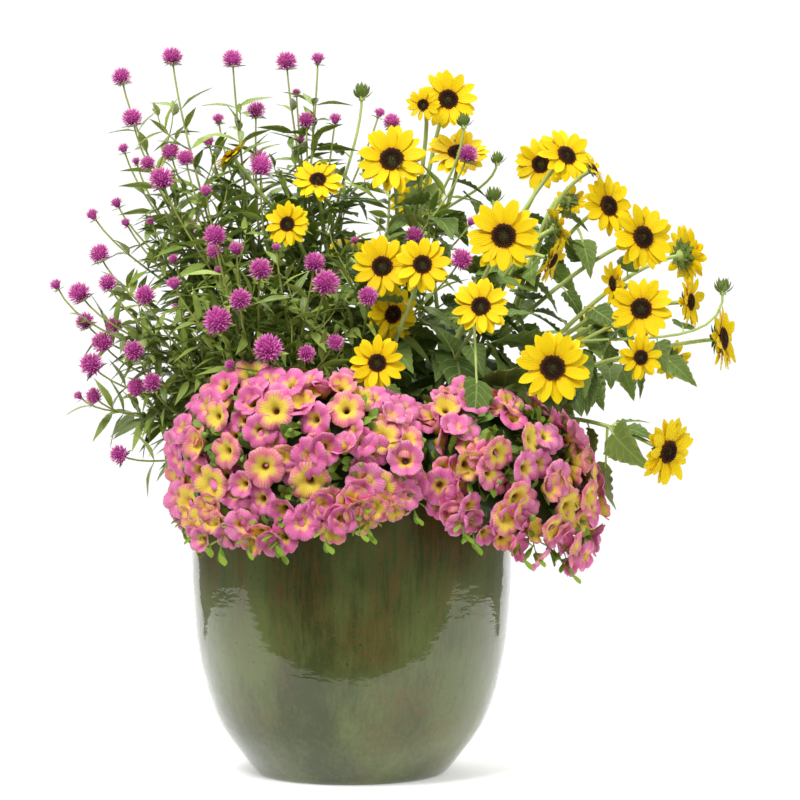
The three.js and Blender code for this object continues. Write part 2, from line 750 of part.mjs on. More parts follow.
// The places of a mound's flowers, in staggered rows from the top to the hanging edge
function moundFlowers(keys, seed) {
  const random = randomFrom(seed);
  const [start, end] = [keys[0][0], keys[keys.length - 1][0]];
  const middle = moundPoint(keys, (start + end) / 2, 0.5, 0);
  const rows = Math.round(((1 - BLOOM_START) * middle.length) / (BLOOM_SPACING * 0.93));
  const flowers = [];
  for (let row = 0; row < rows; row += 1) {
    const share = BLOOM_START + ((1 - BLOOM_START) * (row + 0.5)) / rows;
    const { reach } = moundPoint(keys, (start + end) / 2, share, 0);
    const arc = THREE.MathUtils.degToRad(end - start) * reach;
    const count = Math.round(arc / BLOOM_SPACING);
    for (let i = 0; i < count; i += 1) {
      const step = i + 0.25 + 0.5 * (row % 2) + 0.3 * (random() - 0.5);
      const round = start + ((end - start) * step) / count;
      const shift = (0.24 * (random() - 0.5)) / rows;
      const { point, normal } = moundPoint(keys, round, share + shift, -3 * random());
      const tilt = vec(random() - 0.5, random() - 0.5, random() - 0.5).multiplyScalar(0.5);
      const radius = BLOOM_RADIUS * (0.9 + 0.16 * random());
      flowers.push({ centre: point, normal: normal.add(tilt).normalize(), radius, spin: random() * 2 });
    }
  }
  return flowers;
}

// A mound's leafy core on a short stem
function addMound(name, { keys, stem }) {
  const owner = `calibrachoa_${name}`;
  place(owner, moundCore(keys), "core");
  place(owner, stemSolid(stemPath(stem.root, stem.fork, ROOT_DEPTH), STEM.calibrachoa, STEM_STEPS), "stem");
}

// Covers a mound with flowers whose tubes are sunk in its core, each raised until it clears its neighbours
function addMoundFlowers(name, { keys, seed }) {
  const owner = `calibrachoa_${name}`;
  for (const { centre, normal, radius, spin } of moundFlowers(keys, seed)) {
    const solids = [0, 3, 6, 9, 12].map((push) =>
      funnelSolid(along(centre, normal, push), normal, radius, spin, FUNNEL_DEPTH + push),
    );
    const clear = solids.find((solid) => isClear(solid, owner, ["flower"]));
    if (clear) place(owner, clear, "flower");
  }
}

// Sprigs of small leaves that stand out of a mound between and below its flowers
function addSprigs(name, { keys, seed }, wanted) {
  const owner = `calibrachoa_${name}`;
  const random = randomFrom(seed + 100);
  const [start, end] = [keys[0][0], keys[keys.length - 1][0]];
  for (let i = 0; i < wanted; i += 1) {
    const share = i % 3 ? 0.9 + 0.1 * random() : 0.02 + 0.7 * random();
    const round = start + (end - start) * ((i + random()) / wanted);
    const { point, normal } = moundPoint(keys, round, share, CORE_INSET + 5);
    const droop = share > 0.85 ? -0.9 : 0.1;
    const direction = normal.clone().addScaledVector(UP, droop).normalize();
    const length = 36 + 12 * random();
    const side = sideOf(direction, random() * Math.PI);
    const leaf = bladeSolid(point, direction, side, { length, width: length * 0.32, thick: 1.5 }, 2);
    if (isClear(leaf, owner, ["leaf", "flower"])) place(owner, leaf, "leaf");
  }
}

// A leaf at a share of a stem, tried at several turns until it stands clear; left out where none does
function addLeaf(owner, { spine, item }, share, turn, makeLeaf) {
  const { point: start, direction: tangent } = onSpine(spine, share);
  for (const bend of [0, 0.5, -0.5, 1, -1, 1.6]) {
    const side = sideOf(tangent, turn + bend);
    const leaf = makeLeaf(start, tangent, side);
    if (!isClear(leaf, owner, ["leaf", "head", "stalk", "stem"], item)) continue;
    place(owner, leaf, "leaf");
    return;
  }
}

// A large leaf that reaches to its tip from the point of its plant that suits the length of its leaf stalk
function addLargeLeaf({ owner, stem, stalks }, [x, y, z, length]) {
  const tip = vec(x, y, z);
  const shares = [0.2, 0.35, 0.5, 0.65, 0.8];
  const roots = [stem, ...stalks].flatMap((limb) =>
    shares.map((share) => {
      const { point } = onSpine(limb.spine, share);
      return { point, misfit: Math.abs(point.distanceTo(tip) - 1.4 * length) };
    }),
  );
  roots.sort((one, other) => one.misfit - other.misfit);
  for (const { point } of roots.slice(0, 6)) {
    const petiole = Math.max(12, point.distanceTo(tip) - length);
    const size = { length, width: length * 0.7, thick: SUNFLOWER_LEAF.thick, petiole };
    const heading = tip.clone().sub(point).normalize();
    const leaf = toothedLeafSolid(point, heading, vec().crossVectors(UP, heading).normalize(), size);
    if (!isClear(leaf, owner, ["leaf", "head"])) continue;
    place(owner, leaf, "leaf");
    return;
  }
}

function amaranthLeaf(scale) {
  return (start, tangent, side) => {
    const heading = side.clone().multiplyScalar(0.86).addScaledVector(tangent, 0.5).normalize();
    const across = vec().crossVectors(tangent, side).normalize();
    const { length, width, thick } = AMARANTH_LEAF;
    const size = { length: length * scale, width: width * scale, thick };
    const normalUp = vec().crossVectors(across, heading).z > 0 ? 1 : -1;
    return bladeSolid(start, heading, across.multiplyScalar(normalUp), size, length * scale * 0.16);
  };
}

function sunflowerLeaf(scale) {
  return (start, tangent, side) => {
    const heading = side.clone().addScaledVector(tangent, 0.3).addScaledVector(UP, -0.1).normalize();
    const across = vec().crossVectors(UP, heading).normalize();
    const { length, width, thick, petiole } = SUNFLOWER_LEAF;
    const size = { length: length * scale, width: width * scale, thick, petiole: petiole * scale };
    return toothedLeafSolid(start, heading, across, size);
  };
}

// Flowers claim their places first, then stems and stalks are routed between them, then leaves fill in
function claimHeads() {
  for (const [name, spray] of Object.entries(AMARANTH_SPRAYS))
    for (const [x, y, z, across] of spray.heads) {
      const centre = vec(x, y, z);
      capsules.push({ owner: `amaranth_${name}`, a: centre, b: centre, radius: across / 2 });
    }
  for (const [name, plant] of Object.entries(SUNFLOWER_STEMS)) {
    for (const [x, y, z, across] of plant.buds) {
      const centre = vec(x, y, z);
      capsules.push({ owner: `sunflower_${name}`, a: centre, b: centre, radius: across / 2 });
    }
    plant.heads.forEach(([x, y, z, across, turn, tilt], i) => {
      const centre = vec(x, y, z);
      const facing = facingOf(turn, tilt);
      for (let k = 0; k < 10; k += 1) {
        const side = sideOf(facing, (k * Math.PI) / 5);
        const tip = along(along(centre, side, across / 2 - 3), facing, 3);
        capsules.push({ owner: headName(name, i), a: centre, b: tip, radius: 4 });
      }
    });
  }
  for (const [name, { keys }] of Object.entries(MOUNDS))
    for (let i = 0; i + 1 < keys.length; i += 1) {
      const [a, b] = [keys[i], keys[i + 1]].map(([round, radius, height]) => {
        const angle = THREE.MathUtils.degToRad(round);
        return vec(Math.sin(angle) * radius, -Math.cos(angle) * radius, height);
      });
      const radius = Math.min(keys[i][3], keys[i + 1][3]) + 2;
      capsules.push({ owner: `calibrachoa_${name}`, a, b, radius });
    }
}

function headName(stem, index) {
  return `sunflower_${stem}_head_${index + 1}`;
}

function addStem(owner, plant, radius) {
  const curve = stemPath(plant.root, plant.fork, ROOT_DEPTH);
  const spine = curve.getSpacedPoints(STEM_STEPS);
  capsules.push(...capsulesAlong(spine, radius, owner));
  return { spine, item: place(owner, stemSolid(curve, radius, STEM_STEPS), "stem") };
}

function addStalk({ owner, stem }, share, end, facing, radius, ownHead) {
  const fork = onSpine(stem.spine, share);
  const { curve, spine, steps } = routeStalk(fork, end, facing, radius, owner, ownHead);
  capsules.push(...capsulesAlong(spine, radius, owner));
  return { spine, steps, item: place(owner, stemSolid(curve, radius, steps), "stalk") };
}

function stalkShare(index, count) {
  return count === 1 ? 1 : 0.5 + (0.5 * index) / (count - 1);
}

function plantStems(plants, family, radius) {
  return Object.entries(plants).map(([name, plant]) => {
    const owner = `${family}_${name}`;
    return { name, owner, plant, stem: addStem(owner, plant, radius) };
  });
}

function growAmaranth(sprays) {
  const random = randomFrom(11);
  for (const item of sprays)
    item.stalks = item.plant.heads.map(([x, y, z, across], i) => {
      const centre = vec(x, y, z);
      const outward = centre.clone().sub(vec(...item.plant.fork)).normalize();
      const facing = outward.addScaledVector(UP, 0.8).normalize();
      const share = stalkShare(i, item.plant.heads.length);
      const stalk = addStalk(item, share, centre, facing, STEM.stalk, null);
      place(item.owner, bractBall(centre, facing, across, BALL_CORE, random), "head");
      return stalk;
    });
}

function growSunflowers(stems) {
  const random = randomFrom(23);
  for (const item of stems) {
    const { name, owner, plant } = item;
    const total = plant.heads.length + plant.buds.length;
    item.stalks = plant.heads.map(([x, y, z, across, turn, tilt], i) => {
      const centre = vec(x, y, z);
      const facing = facingOf(turn, tilt);
      const neck = along(centre, facing, -across * 0.07);
      const stalk = addStalk(item, stalkShare(i, total), neck, facing, STEM.neck, headName(name, i));
      place(owner, calyxSolid(centre, facing, across), "head");
      place(headName(name, i), rayHeadSolid(centre, facing, across, random), "head");
      return stalk;
    });
    plant.buds.forEach(([x, y, z, across], i) => {
      const centre = vec(x, y, z);
      const share = stalkShare(plant.heads.length + i, total);
      const stalk = addStalk(item, share, centre, UP, STEM.stalk, null);
      place(owner, bractBall(centre, UP, across, BALL_CORE, random), "head");
      item.stalks.push(stalk);
    });
  }
}

function leafOut(sprays, stems) {
  const random = randomFrom(37);
  for (const item of stems) for (const leaf of item.plant.leaves) addLargeLeaf(item, leaf);
  for (const { owner, stem, stalks } of stems) {
    [0.34, 0.58, 0.82].forEach((share, i) => {
      addLeaf(owner, stem, share, i * 2.4 + random(), sunflowerLeaf(1.08 - 0.25 * share));
    });
    for (const stalk of stalks.filter(({ steps }, i) => steps === 3 && i % 3 === 0))
      addLeaf(owner, stalk, 0.38, random() * 6, sunflowerLeaf(0.62));
  }
  for (const { owner, stem, stalks } of sprays) {
    [0.36, 0.56, 0.78].forEach((share, i) => {
      const turn = (i * Math.PI) / 2 + random();
      for (const half of [0, Math.PI])
        addLeaf(owner, stem, share, turn + half, amaranthLeaf(1.1 - 0.3 * share));
    });
    stalks.filter(({ steps }) => steps === 3).forEach((stalk, i) => {
      addLeaf(owner, stalk, 0.36, i * 2.4 + random(), amaranthLeaf(0.85));
    });
  }
}

// Assembly
const group = new THREE.Group();

function addNode(name, solid, finish) {
  const mesh = new THREE.Mesh(geometryOf(solid), finish);
  mesh.name = name;
  group.add(mesh);
}

// Joins a node's solids and keeps the one body that holds together
function joined(owner) {
  const bodies = wasm.Manifold.union(ownSolids(owner)).simplify(0.02).decompose();
  return bodies.reduce((most, body) => (body.volume() > most.volume() ? body : most));
}

claimHeads();
place("pot", potSolid(), "pot");
for (const [name, mound] of Object.entries(MOUNDS)) addMound(name, mound);
const stems = plantStems(SUNFLOWER_STEMS, "sunflower", STEM.sunflower);
const sprays = plantStems(AMARANTH_SPRAYS, "amaranth", STEM.amaranth);
growSunflowers(stems);
growAmaranth(sprays);
for (const [name, mound] of Object.entries(MOUNDS)) addMoundFlowers(name, mound);
leafOut(sprays, stems);
for (const [name, mound] of Object.entries(MOUNDS)) addSprigs(name, mound, SPRIG_COUNT);

const holes = [
  ...Object.values(MOUNDS).map(({ stem }) => holeSolid(stem, STEM.calibrachoa)),
  ...sprays.map(({ plant }) => holeSolid(plant, STEM.amaranth)),
  ...stems.map(({ plant }) => holeSolid(plant, STEM.sunflower)),
];

addNode("pot", joined("pot"), GLAZE);
addNode("soil", soilSolid(holes), SOIL);
for (const name of Object.keys(MOUNDS)) {
  const owner = `calibrachoa_${name}`;
  addNode(owner, joined(owner), CALIBRACHOA);
}
for (const { owner } of sprays) addNode(owner, joined(owner), AMARANTH);
for (const { name, owner, plant } of stems) {
  addNode(owner, joined(owner), STEM_GREEN);
  plant.heads.forEach((_, i) => addNode(headName(name, i), joined(headName(name, i)), RAY_YELLOW));
}

export default group;
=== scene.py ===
"""Dresses the frame of a glazed pot planted with globe amaranth, sunflowers and calibrachoa.

Lengths are written in millimetres, as a grower would give them, and become metres when a mesh is made.
"""

import logging
import math
from collections.abc import Callable, Sequence
from dataclasses import dataclass, field
from enum import Enum

import bpy
import numpy as np
from mathutils import Matrix


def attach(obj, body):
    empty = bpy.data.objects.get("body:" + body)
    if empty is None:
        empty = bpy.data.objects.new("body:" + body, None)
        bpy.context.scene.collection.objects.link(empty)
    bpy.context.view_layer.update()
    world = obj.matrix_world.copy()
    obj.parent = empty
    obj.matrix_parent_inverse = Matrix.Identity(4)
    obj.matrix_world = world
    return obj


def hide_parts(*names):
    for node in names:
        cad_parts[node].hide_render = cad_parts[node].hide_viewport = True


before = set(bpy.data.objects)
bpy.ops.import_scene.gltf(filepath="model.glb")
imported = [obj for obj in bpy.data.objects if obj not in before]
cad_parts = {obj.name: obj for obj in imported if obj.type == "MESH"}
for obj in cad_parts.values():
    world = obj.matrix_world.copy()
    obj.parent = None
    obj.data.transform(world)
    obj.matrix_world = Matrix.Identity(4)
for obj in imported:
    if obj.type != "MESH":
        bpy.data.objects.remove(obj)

Triple = tuple[float, float, float]
Line = Sequence[np.ndarray]
Draw = Callable[[], float]
Socket = bpy.types.NodeSocket
Number = float | Socket
Colour = Socket | Triple

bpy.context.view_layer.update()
MM = 0.001
LOG = logging.getLogger("planter")

# The pot and its soil
POT_RADIUS = 180.0
POT_HEIGHT = 322.0
WALL = 14.0
FOOT_RADIUS = 106.0
BASE_THICKNESS = 24.0
DRAIN_RADIUS = 8.0
DRAIN_RING = 55.0
SOIL_TOP = 288.0
ROOT_DEPTH = 18.0

# How stems and stalks run
STEM_STEPS = 4
CAPSULE_MARGIN = 1.2
LONG_STALK = 130.0
LEAF_PAIR_STEP = 24.0
SMALL_HEAD = 50.0
DISC_SHARE = 0.147
SMALL_BALL = 20.0
STEM_GIRTH = {"amaranth": 3.2, "stalk": 1.4, "sunflower": 5.0, "neck": 2.3}

# Where each leafy stem of the globe amaranth roots and forks, and its flower balls: x, y, z, width
AMARANTH_SPRAYS = {
    "far_left_low": {
        "root": (-88, 45),
        "fork": (-190, 55, 385),
        "heads": [
            (-260, -5, 355, 24), (-240, -15, 430, 24), (-220, -40, 435, 24), (-290, 10, 420, 22),
            (-310, 35, 420, 13),
        ],
    },
    "left": {
        "root": (-95, 68),
        "fork": (-190, 60, 430),
        "heads": [
            (-240, -40, 470, 26), (-290, -15, 455, 30), (-280, 5, 480, 28), (-270, 30, 500, 23),
            (-305, 50, 505, 25),
        ],
    },
    "left_upper": {
        "root": (-84, 26),
        "fork": (-170, 15, 455),
        "heads": [
            (-225, -65, 530, 26), (-270, -30, 545, 24), (-305, 0, 535, 29), (-335, 30, 545, 16),
            (-285, 20, 580, 27),
        ],
    },
    "upper_left": {
        "root": (-76, 78),
        "fork": (-170, 60, 545),
        "heads": [
            (-195, -50, 570, 13), (-225, 0, 615, 11), (-255, 20, 615, 13), (-295, 40, 625, 17),
            (-270, 60, 640, 16), (-250, 80, 690, 12), (-265, 85, 705, 15), (-250, 35, 735, 27),
            (-265, 60, 785, 26),
        ],
    },
    "cluster": {
        "root": (-68, 50),
        "fork": (-150, 10, 570),
        "heads": [
            (-160, -45, 645, 16), (-210, -35, 660, 31), (-185, -15, 685, 22), (-228, -5, 680, 20),
            (-205, 22, 695, 25), (-205, 40, 805, 27),
        ],
    },
    "tall_mid": {
        "root": (-54, 74),
        "fork": (-115, 35, 600),
        "heads": [
            (-100, -30, 675, 28), (-165, 60, 710, 17), (-155, 75, 738, 16), (-110, 45, 745, 25),
            (-135, 20, 800, 26),
        ],
    },
    "tall_right": {
        "root": (-34, 52),
        "fork": (-50, 45, 610),
        "heads": [
            (-60, 62, 712, 14), (-52, 25, 732, 22), (-20, 50, 735, 17), (30, 75, 745, 15),
            (-65, 70, 768, 12), (-75, 40, 800, 27), (-40, 60, 805, 18),
        ],
    },
    "front": {
        "root": (-72, 4),
        "fork": (-115, -60, 460),
        "heads": [
            (-140, -145, 500, 34), (-115, -160, 522, 26), (-190, -100, 540, 18), (-95, -130, 555, 28),
            (-142, -95, 556, 11), (-122, -110, 577, 19), (-148, -82, 577, 20), (-145, -115, 592, 28),
        ],
    },
    "front_right": {
        "root": (-44, 12),
        "fork": (-62, -70, 455),
        "heads": [
            (-125, -155, 452, 14), (-85, -165, 470, 34), (-45, -150, 465, 21), (-15, -150, 477, 20),
            (-25, -145, 540, 32), (-38, -115, 563, 26), (-80, -100, 580, 11),
        ],
    },
    "among": {
        "root": (-8, 30),
        "fork": (35, -15, 540),
        "heads": [
            (20, -125, 527, 24), (120, -110, 567, 27), (5, -60, 590, 11), (70, -25, 598, 24),
            (132, -35, 612, 13), (130, 0, 690, 27), (45, 45, 732, 23),
        ],
    },
    "back": {
        "root": (-46, 100),
        "fork": (-85, 150, 520),
        "heads": [
            (-65, 262, 515, 26), (-25, 225, 565, 25), (-80, 200, 640, 26), (-195, 150, 620, 25),
            (-115, 190, 705, 26),
        ],
    },
    "back_left": {
        "root": (-78, 104),
        "fork": (-150, 155, 430),
        "heads": [
            (-190, 240, 430, 25), (-120, 268, 470, 24), (-255, 140, 470, 26), (-210, 200, 530, 25),
            (-155, 248, 560, 28),
        ],
    },
}

# Where each sunflower stem roots and forks, its heads (x, y, z, width, turn to the right, tilt up),
# its buds, and the tips and lengths of its largest leaves
SUNFLOWER_STEMS = {
    "front_left": {
        "root": (22, 4),
        "fork": (42, -55, 455),
        "heads": [
            (30, -165, 455, 57, 0, 6), (45, -75, 510, 60, 30, -12), (35, -105, 560, 65, -6, 5),
            (78, -138, 560, 60, -4, 8),
        ],
        "buds": [],
        "leaves": [],
    },
    "back_left": {
        "root": (4, 66),
        "fork": (-30, 60, 570),
        "heads": [(-70, -40, 610, 50, -12, 10), (-38, 2, 662, 56, 0, 35), (-135, 6, 690, 48, -85, 48)],
        "buds": [(10, 85, 770, 20)],
        "leaves": [(28, -20, 652, 58)],
    },
    "top": {
        "root": (40, 66),
        "fork": (72, 50, 600),
        "heads": [
            (45, 0, 685, 79, -6, 14), (120, 35, 695, 70, 0, 42), (80, -15, 745, 38, -10, 2),
            (108, 20, 755, 66, 8, 10),
        ],
        "buds": [(125, -20, 725, 17), (165, 50, 690, 16)],
        "leaves": [(114, -60, 611, 66)],
    },
    "middle": {
        "root": (64, 26),
        "fork": (125, -35, 500),
        "heads": [
            (140, -145, 515, 61, -5, 14), (165, -120, 592, 77, 0, 5), (215, 50, 685, 61, -14, 5),
            (240, 10, 690, 67, 28, 24),
        ],
        "buds": [(160, 20, 645, 20)],
        "leaves": [(200, -110, 521, 50), (136, -185, 389, 58)],
    },
    "upper_right": {
        "root": (76, 66),
        "fork": (190, 25, 520),
        "heads": [
            (220, -55, 570, 52, 70, -28), (228, -20, 608, 48, 105, 22), (320, -50, 595, 73, 25, 5),
            (285, -12, 632, 69, 35, 10), (245, 20, 640, 43, 150, -32), (268, -30, 672, 34, 70, 32),
        ],
        "buds": [],
        "leaves": [(268, -30, 560, 46)],
    },
    "right": {
        "root": (88, 32),
        "fork": (220, -25, 475),
        "heads": [
            (215, -160, 450, 78, 0, 5), (315, -95, 515, 67, -4, 4), (292, -35, 545, 52, -72, -8),
            (375, -22, 525, 56, 62, 0), (375, 25, 580, 66, 120, 8),
        ],
        "buds": [(412, -30, 540, 19)],
        "leaves": [(167, -130, 468, 78)],
    },
    "lower_right": {
        "root": (100, 58),
        "fork": (250, 62, 445),
        "heads": [
            (345, -70, 360, 74, 42, -12), (312, -112, 462, 49, 20, -4), (415, 10, 485, 73, 66, 5),
            (365, 60, 462, 46, 150, -10),
        ],
        "buds": [],
        "leaves": [(310, -90, 347, 72), (334, -60, 381, 44), (284, 22, 288, 58), (388, 10, 436, 42)],
    },
    "back": {
        "root": (62, 104),
        "fork": (110, 140, 490),
        "heads": [
            (-10, 235, 590, 60, 200, 12), (185, 245, 585, 70, 168, 10), (285, 175, 500, 62, 135, 0),
            (75, 200, 655, 66, 185, 18),
        ],
        "buds": [(120, 268, 500, 19)],
        "leaves": [(170, 180, 430, 74), (20, 215, 470, 66)],
    },
}

# The cross-section of each calibrachoa mound as it runs round the rim, an arc of flowers that then hangs
# straight down: angle from the front to the right in degrees, the arc's centre radius and height, its
# radius and the drop. The fringe is the angle up to which flowers hang below its edge.
MOUNDS = {
    "left": {
        "seed": 5,
        "fringe": 19,
        "keys": [
            (-76, 156, 352, 32, 24), (-66, 158, 356, 42, 44), (-56, 160, 362, 60, 60),
            (-38, 164, 364, 76, 66), (-16, 166, 364, 76, 62), (4, 164, 356, 72, 44),
            (19, 160, 346, 58, 16),
        ],
    },
    "right": {
        "seed": 6,
        "fringe": 66,
        "keys": [
            (25, 164, 344, 54, 30), (38, 170, 350, 72, 46), (54, 180, 340, 80, 58),
            (72, 192, 324, 84, 62), (86, 192, 314, 78, 42), (98, 184, 318, 60, 20),
        ],
    },
}
ARC_TOP = 112.0
ARC_FOOT = -14.0
DROP_LEAN = 0.12
CORE_INSET = 19.0
WALL_STAND_OFF = 8.0
BLOOM_RADIUS = 20.5
BLOOM_SPACING = 38.5
BLOOM_START = 0.1
FILLERS_PER_DEGREE = 1.7
FILLER_CLEARANCE = 14.0
FRINGE_STEP = 2.2
LEAVES_PER_DEGREE = 6.5
LEAF_CLEARANCE = 13.0
END_LEAVES = 130
SHOOT_STEP = 7.0

# The even turn between neighbours that are set out in a spiral, in radians
SPIRAL_TURN = 2.39996

# The photograph's view: a level camera in front, a long lens
CAMERA_PLACE = (54.0, -2770.0, 416.0)
CAMERA_LENS = 111.2
FLOOR_SIDES = (-1350.0, 1350.0, -370.0, 560.0)


class Zone(Enum):
    """Which part of a flower a point belongs to, as its finish reads it."""

    BLADE = 0.0
    STEM = 1.0
    SPARK = 2.0


# Small vector helpers


def unit(v: np.ndarray) -> np.ndarray:
    """The vector at length one."""
    return v / max(1e-9, float(np.linalg.norm(v)))


def vec(*values: float) -> np.ndarray:
    """A vector from its three numbers."""
    return np.array(values, dtype=float)


UP = vec(0, 0, 1)


def turned_about(v: np.ndarray, axis: np.ndarray, angle: float) -> np.ndarray:
    """The vector turned about an axis by an angle in radians."""
    c, s = math.cos(angle), math.sin(angle)
    return v * c + np.cross(axis, v) * s + axis * float(np.dot(axis, v)) * (1 - c)


def side_of(direction: np.ndarray, angle: float) -> np.ndarray:
    """A direction at right angles to another, turned by an angle about it."""
    helper = vec(1, 0, 0) if abs(direction[2]) > 0.85 else UP
    return turned_about(unit(np.cross(direction, helper)), direction, angle)


def linked(name: str, data: bpy.types.ID | None) -> bpy.types.Object:
    """A new object with its data, linked to the scene."""
    thing = bpy.data.objects.new(name, data)
    bpy.context.scene.collection.objects.link(thing)
    return thing


def shift_by(draw: Draw) -> np.ndarray:
    """A random shift of up to a half along each axis."""
    return vec(draw() - 0.5, draw() - 0.5, draw() - 0.5)


def seeded(seed: int) -> Draw:
    """Random numbers from 0 to 1 that are the same in every run.

    Args:
        seed: where the row of numbers starts.

    Returns:
        A function that gives the next number.
    """
    mask = 0xFFFFFFFF
    state = seed & mask

    def draw() -> float:
        """The next number of the row."""
        nonlocal state
        state = (state + 0x6D2B79F5) & mask
        t = ((state ^ (state >> 15)) * (state | 1)) & mask
        t = (t ^ ((t + (((t ^ (t >> 7)) * (t | 61)) & mask)) & mask)) & mask
        return ((t ^ (t >> 14)) & mask) / 4294967296

    return draw


def facing_of(turn: float, tilt: float) -> np.ndarray:
    """The way a flower faces, from its turn to the right and its tilt up in degrees."""
    yaw, pitch = math.radians(turn), math.radians(tilt)
    return vec(math.sin(yaw) * math.cos(pitch), -math.cos(yaw) * math.cos(pitch), math.sin(pitch))


@dataclass
class Curve:
    """A cubic Bezier curve through the air."""

    controls: Line

    def point(self, t: float) -> np.ndarray:
        """The point at a parameter from 0 to 1."""
        a, b, c, d = self.controls
        s = 1 - t
        return a * s**3 + b * 3 * s * s * t + c * 3 * s * t * t + d * t**3

    def spaced(self, steps: int) -> list[np.ndarray]:
        """Points an equal distance apart along the curve.

        Args:
            steps: the number of stretches between them.

        Returns:
            One more point than there are steps.
        """
        samples = [self.point(i / 200) for i in range(201)]
        lengths = np.cumsum([0.0] + [float(np.linalg.norm(b - a)) for a, b in zip(samples, samples[1:])])
        return [self.point(float(np.interp(lengths[-1] * i / steps, lengths, np.linspace(0, 1, 201))))
                for i in range(steps + 1)]


def on_spine(spine: Line, share: float) -> tuple[np.ndarray, np.ndarray]:
    """A point at a share of a line of points, and the line's direction there."""
    place = share * (len(spine) - 1)
    i = min(len(spine) - 2, int(place))
    return spine[i] + (spine[i + 1] - spine[i]) * (place - i), unit(spine[i + 1] - spine[i])


def softened(spine: Line, count: int, passes: int) -> list[np.ndarray]:
    """The line of points drawn finer, with its corners rounded and its ends kept."""
    line = np.array([on_spine(spine, i / (count - 1))[0] for i in range(count)])
    for _ in range(passes):
        line[1:-1] = (line[:-2] + 2 * line[1:-1] + line[2:]) / 4
    return list(line)


# Routing of stems and stalks, the same rule as in the solids


@dataclass
class Limb:
    """A stem or a stalk: its line of points, its girth and the curve it was routed along."""

    spine: list[np.ndarray]
    girth: float
    curve: Curve

    @property
    def length(self) -> float:
        """The length of the line."""
        return sum(float(np.linalg.norm(b - a)) for a, b in zip(self.spine, self.spine[1:]))


@dataclass
class Routing:
    """Keeps every stem, stalk and flower as capsules, and bends new stalks clear of them."""

    owners: list[str] = field(default_factory=list)
    starts: list[np.ndarray] = field(default_factory=list)
    ends: list[np.ndarray] = field(default_factory=list)
    radii: list[float] = field(default_factory=list)

    def claim(self, owner: str, a: np.ndarray, b: np.ndarray, radius: float) -> None:
        """Takes the space of one capsule for a plant."""
        self.owners.append(owner)
        self.starts.append(a)
        self.ends.append(b)
        self.radii.append(radius)

    def claim_line(self, owner: str, spine: Line, radius: float) -> None:
        """Takes the space along a line of points."""
        for a, b in zip(spine, spine[1:]):
            self.claim(owner, a, b, radius)

    def clash(self, spine: Line, radius: float, owner: str, own_head: str) -> float:
        """How deep a line would cut into other plants.

        Args:
            spine: the line's points.
            radius: its radius.
            owner: the plant it belongs to.
            own_head: the flower it carries.

        Returns:
            0 where it stands clear, otherwise the worst depth.
        """
        other = np.array([name not in (owner, own_head) for name in self.owners])
        c, d = np.array(self.starts)[other], np.array(self.ends)[other]
        reach = np.array(self.radii)[other] + radius + CAPSULE_MARGIN
        worst = 0.0
        for a, b in zip(spine, spine[1:]):
            u, v, w = b - a, d - c, a - c
            uu, uw = float(u @ u), w @ u
            vv, uv, vw = np.einsum("ij,ij->i", v, v), v @ u, np.einsum("ij,ij->i", v, w)
            spread = uu * vv - uv * uv
            s = np.where(spread > 1e-9, np.clip((uv * vw - vv * uw) / np.maximum(spread, 1e-9), 0, 1), 0.0)
            t = np.where(vv > 1e-9, np.clip((uv * s + vw) / np.maximum(vv, 1e-9), 0, 1), 0.0)
            s = np.clip((uv * t - uw) / uu, 0, 1) if uu > 1e-9 else s * 0
            apart = np.linalg.norm((a + s[:, None] * u) - (c + t[:, None] * v), axis=1)
            worst = min(worst, float((apart - reach).min()))
        return -worst

    def stem(self, owner: str, root: Sequence[float], fork: Sequence[float], girth: float) -> Limb:
        """A stem that rises out of the soil and bends over towards its fork."""
        foot, tip = vec(*root, SOIL_TOP - ROOT_DEPTH), vec(*fork)
        rise = tip[2] - SOIL_TOP
        bend = vec(*(foot[:2] + (tip[:2] - foot[:2]) * 0.55), tip[2] - rise * 0.3)
        curve = Curve((foot, foot + UP * rise * 0.45, bend, tip))
        spine = curve.spaced(STEM_STEPS)
        self.claim_line(owner, spine, girth)
        return Limb(spine, girth, curve)

    def stalk(self, owner: str, stem: Limb, share: float, end: np.ndarray, facing: np.ndarray, girth: float,
              own_head: str = "") -> Limb:
        """A stalk that leaves its stem at a slant, bowed until it clears every other plant.

        Args:
            owner: the plant it belongs to.
            stem: the stem it leaves.
            share: where on the stem it leaves.
            end: where it ends.
            facing: its direction at the end.
            girth: its radius.
            own_head: the flower it carries.

        Returns:
            The routed stalk.
        """
        start, direction = on_spine(stem.spine, share)
        reach = float(np.linalg.norm(end - start))
        straight = (end - start) / reach
        steps = 2 if reach < LONG_STALK else 3
        away = direction + (straight - direction) * 0.7
        best: tuple[float, Limb] | None = None
        for bowing in (0, 10, 20, 32, 46):
            for turn in range(6 if bowing else 1):
                bow = side_of(straight, turn * math.pi / 3) * bowing
                lift = start + away * reach * 0.34 + UP * reach * 0.08 + bow
                curve = Curve((start, lift, end - facing * reach * 0.3 + bow * 0.6, end))
                limb = Limb(curve.spaced(steps), girth, curve)
                clash = self.clash(limb.spine, girth, owner, own_head)
                if best is None or clash < best[0] - 0.5:
                    best = (clash, limb)
                if clash == 0:
                    break
            if best[0] == 0:
                break
        self.claim_line(owner, best[1].spine, girth)
        return best[1]


# Meshes


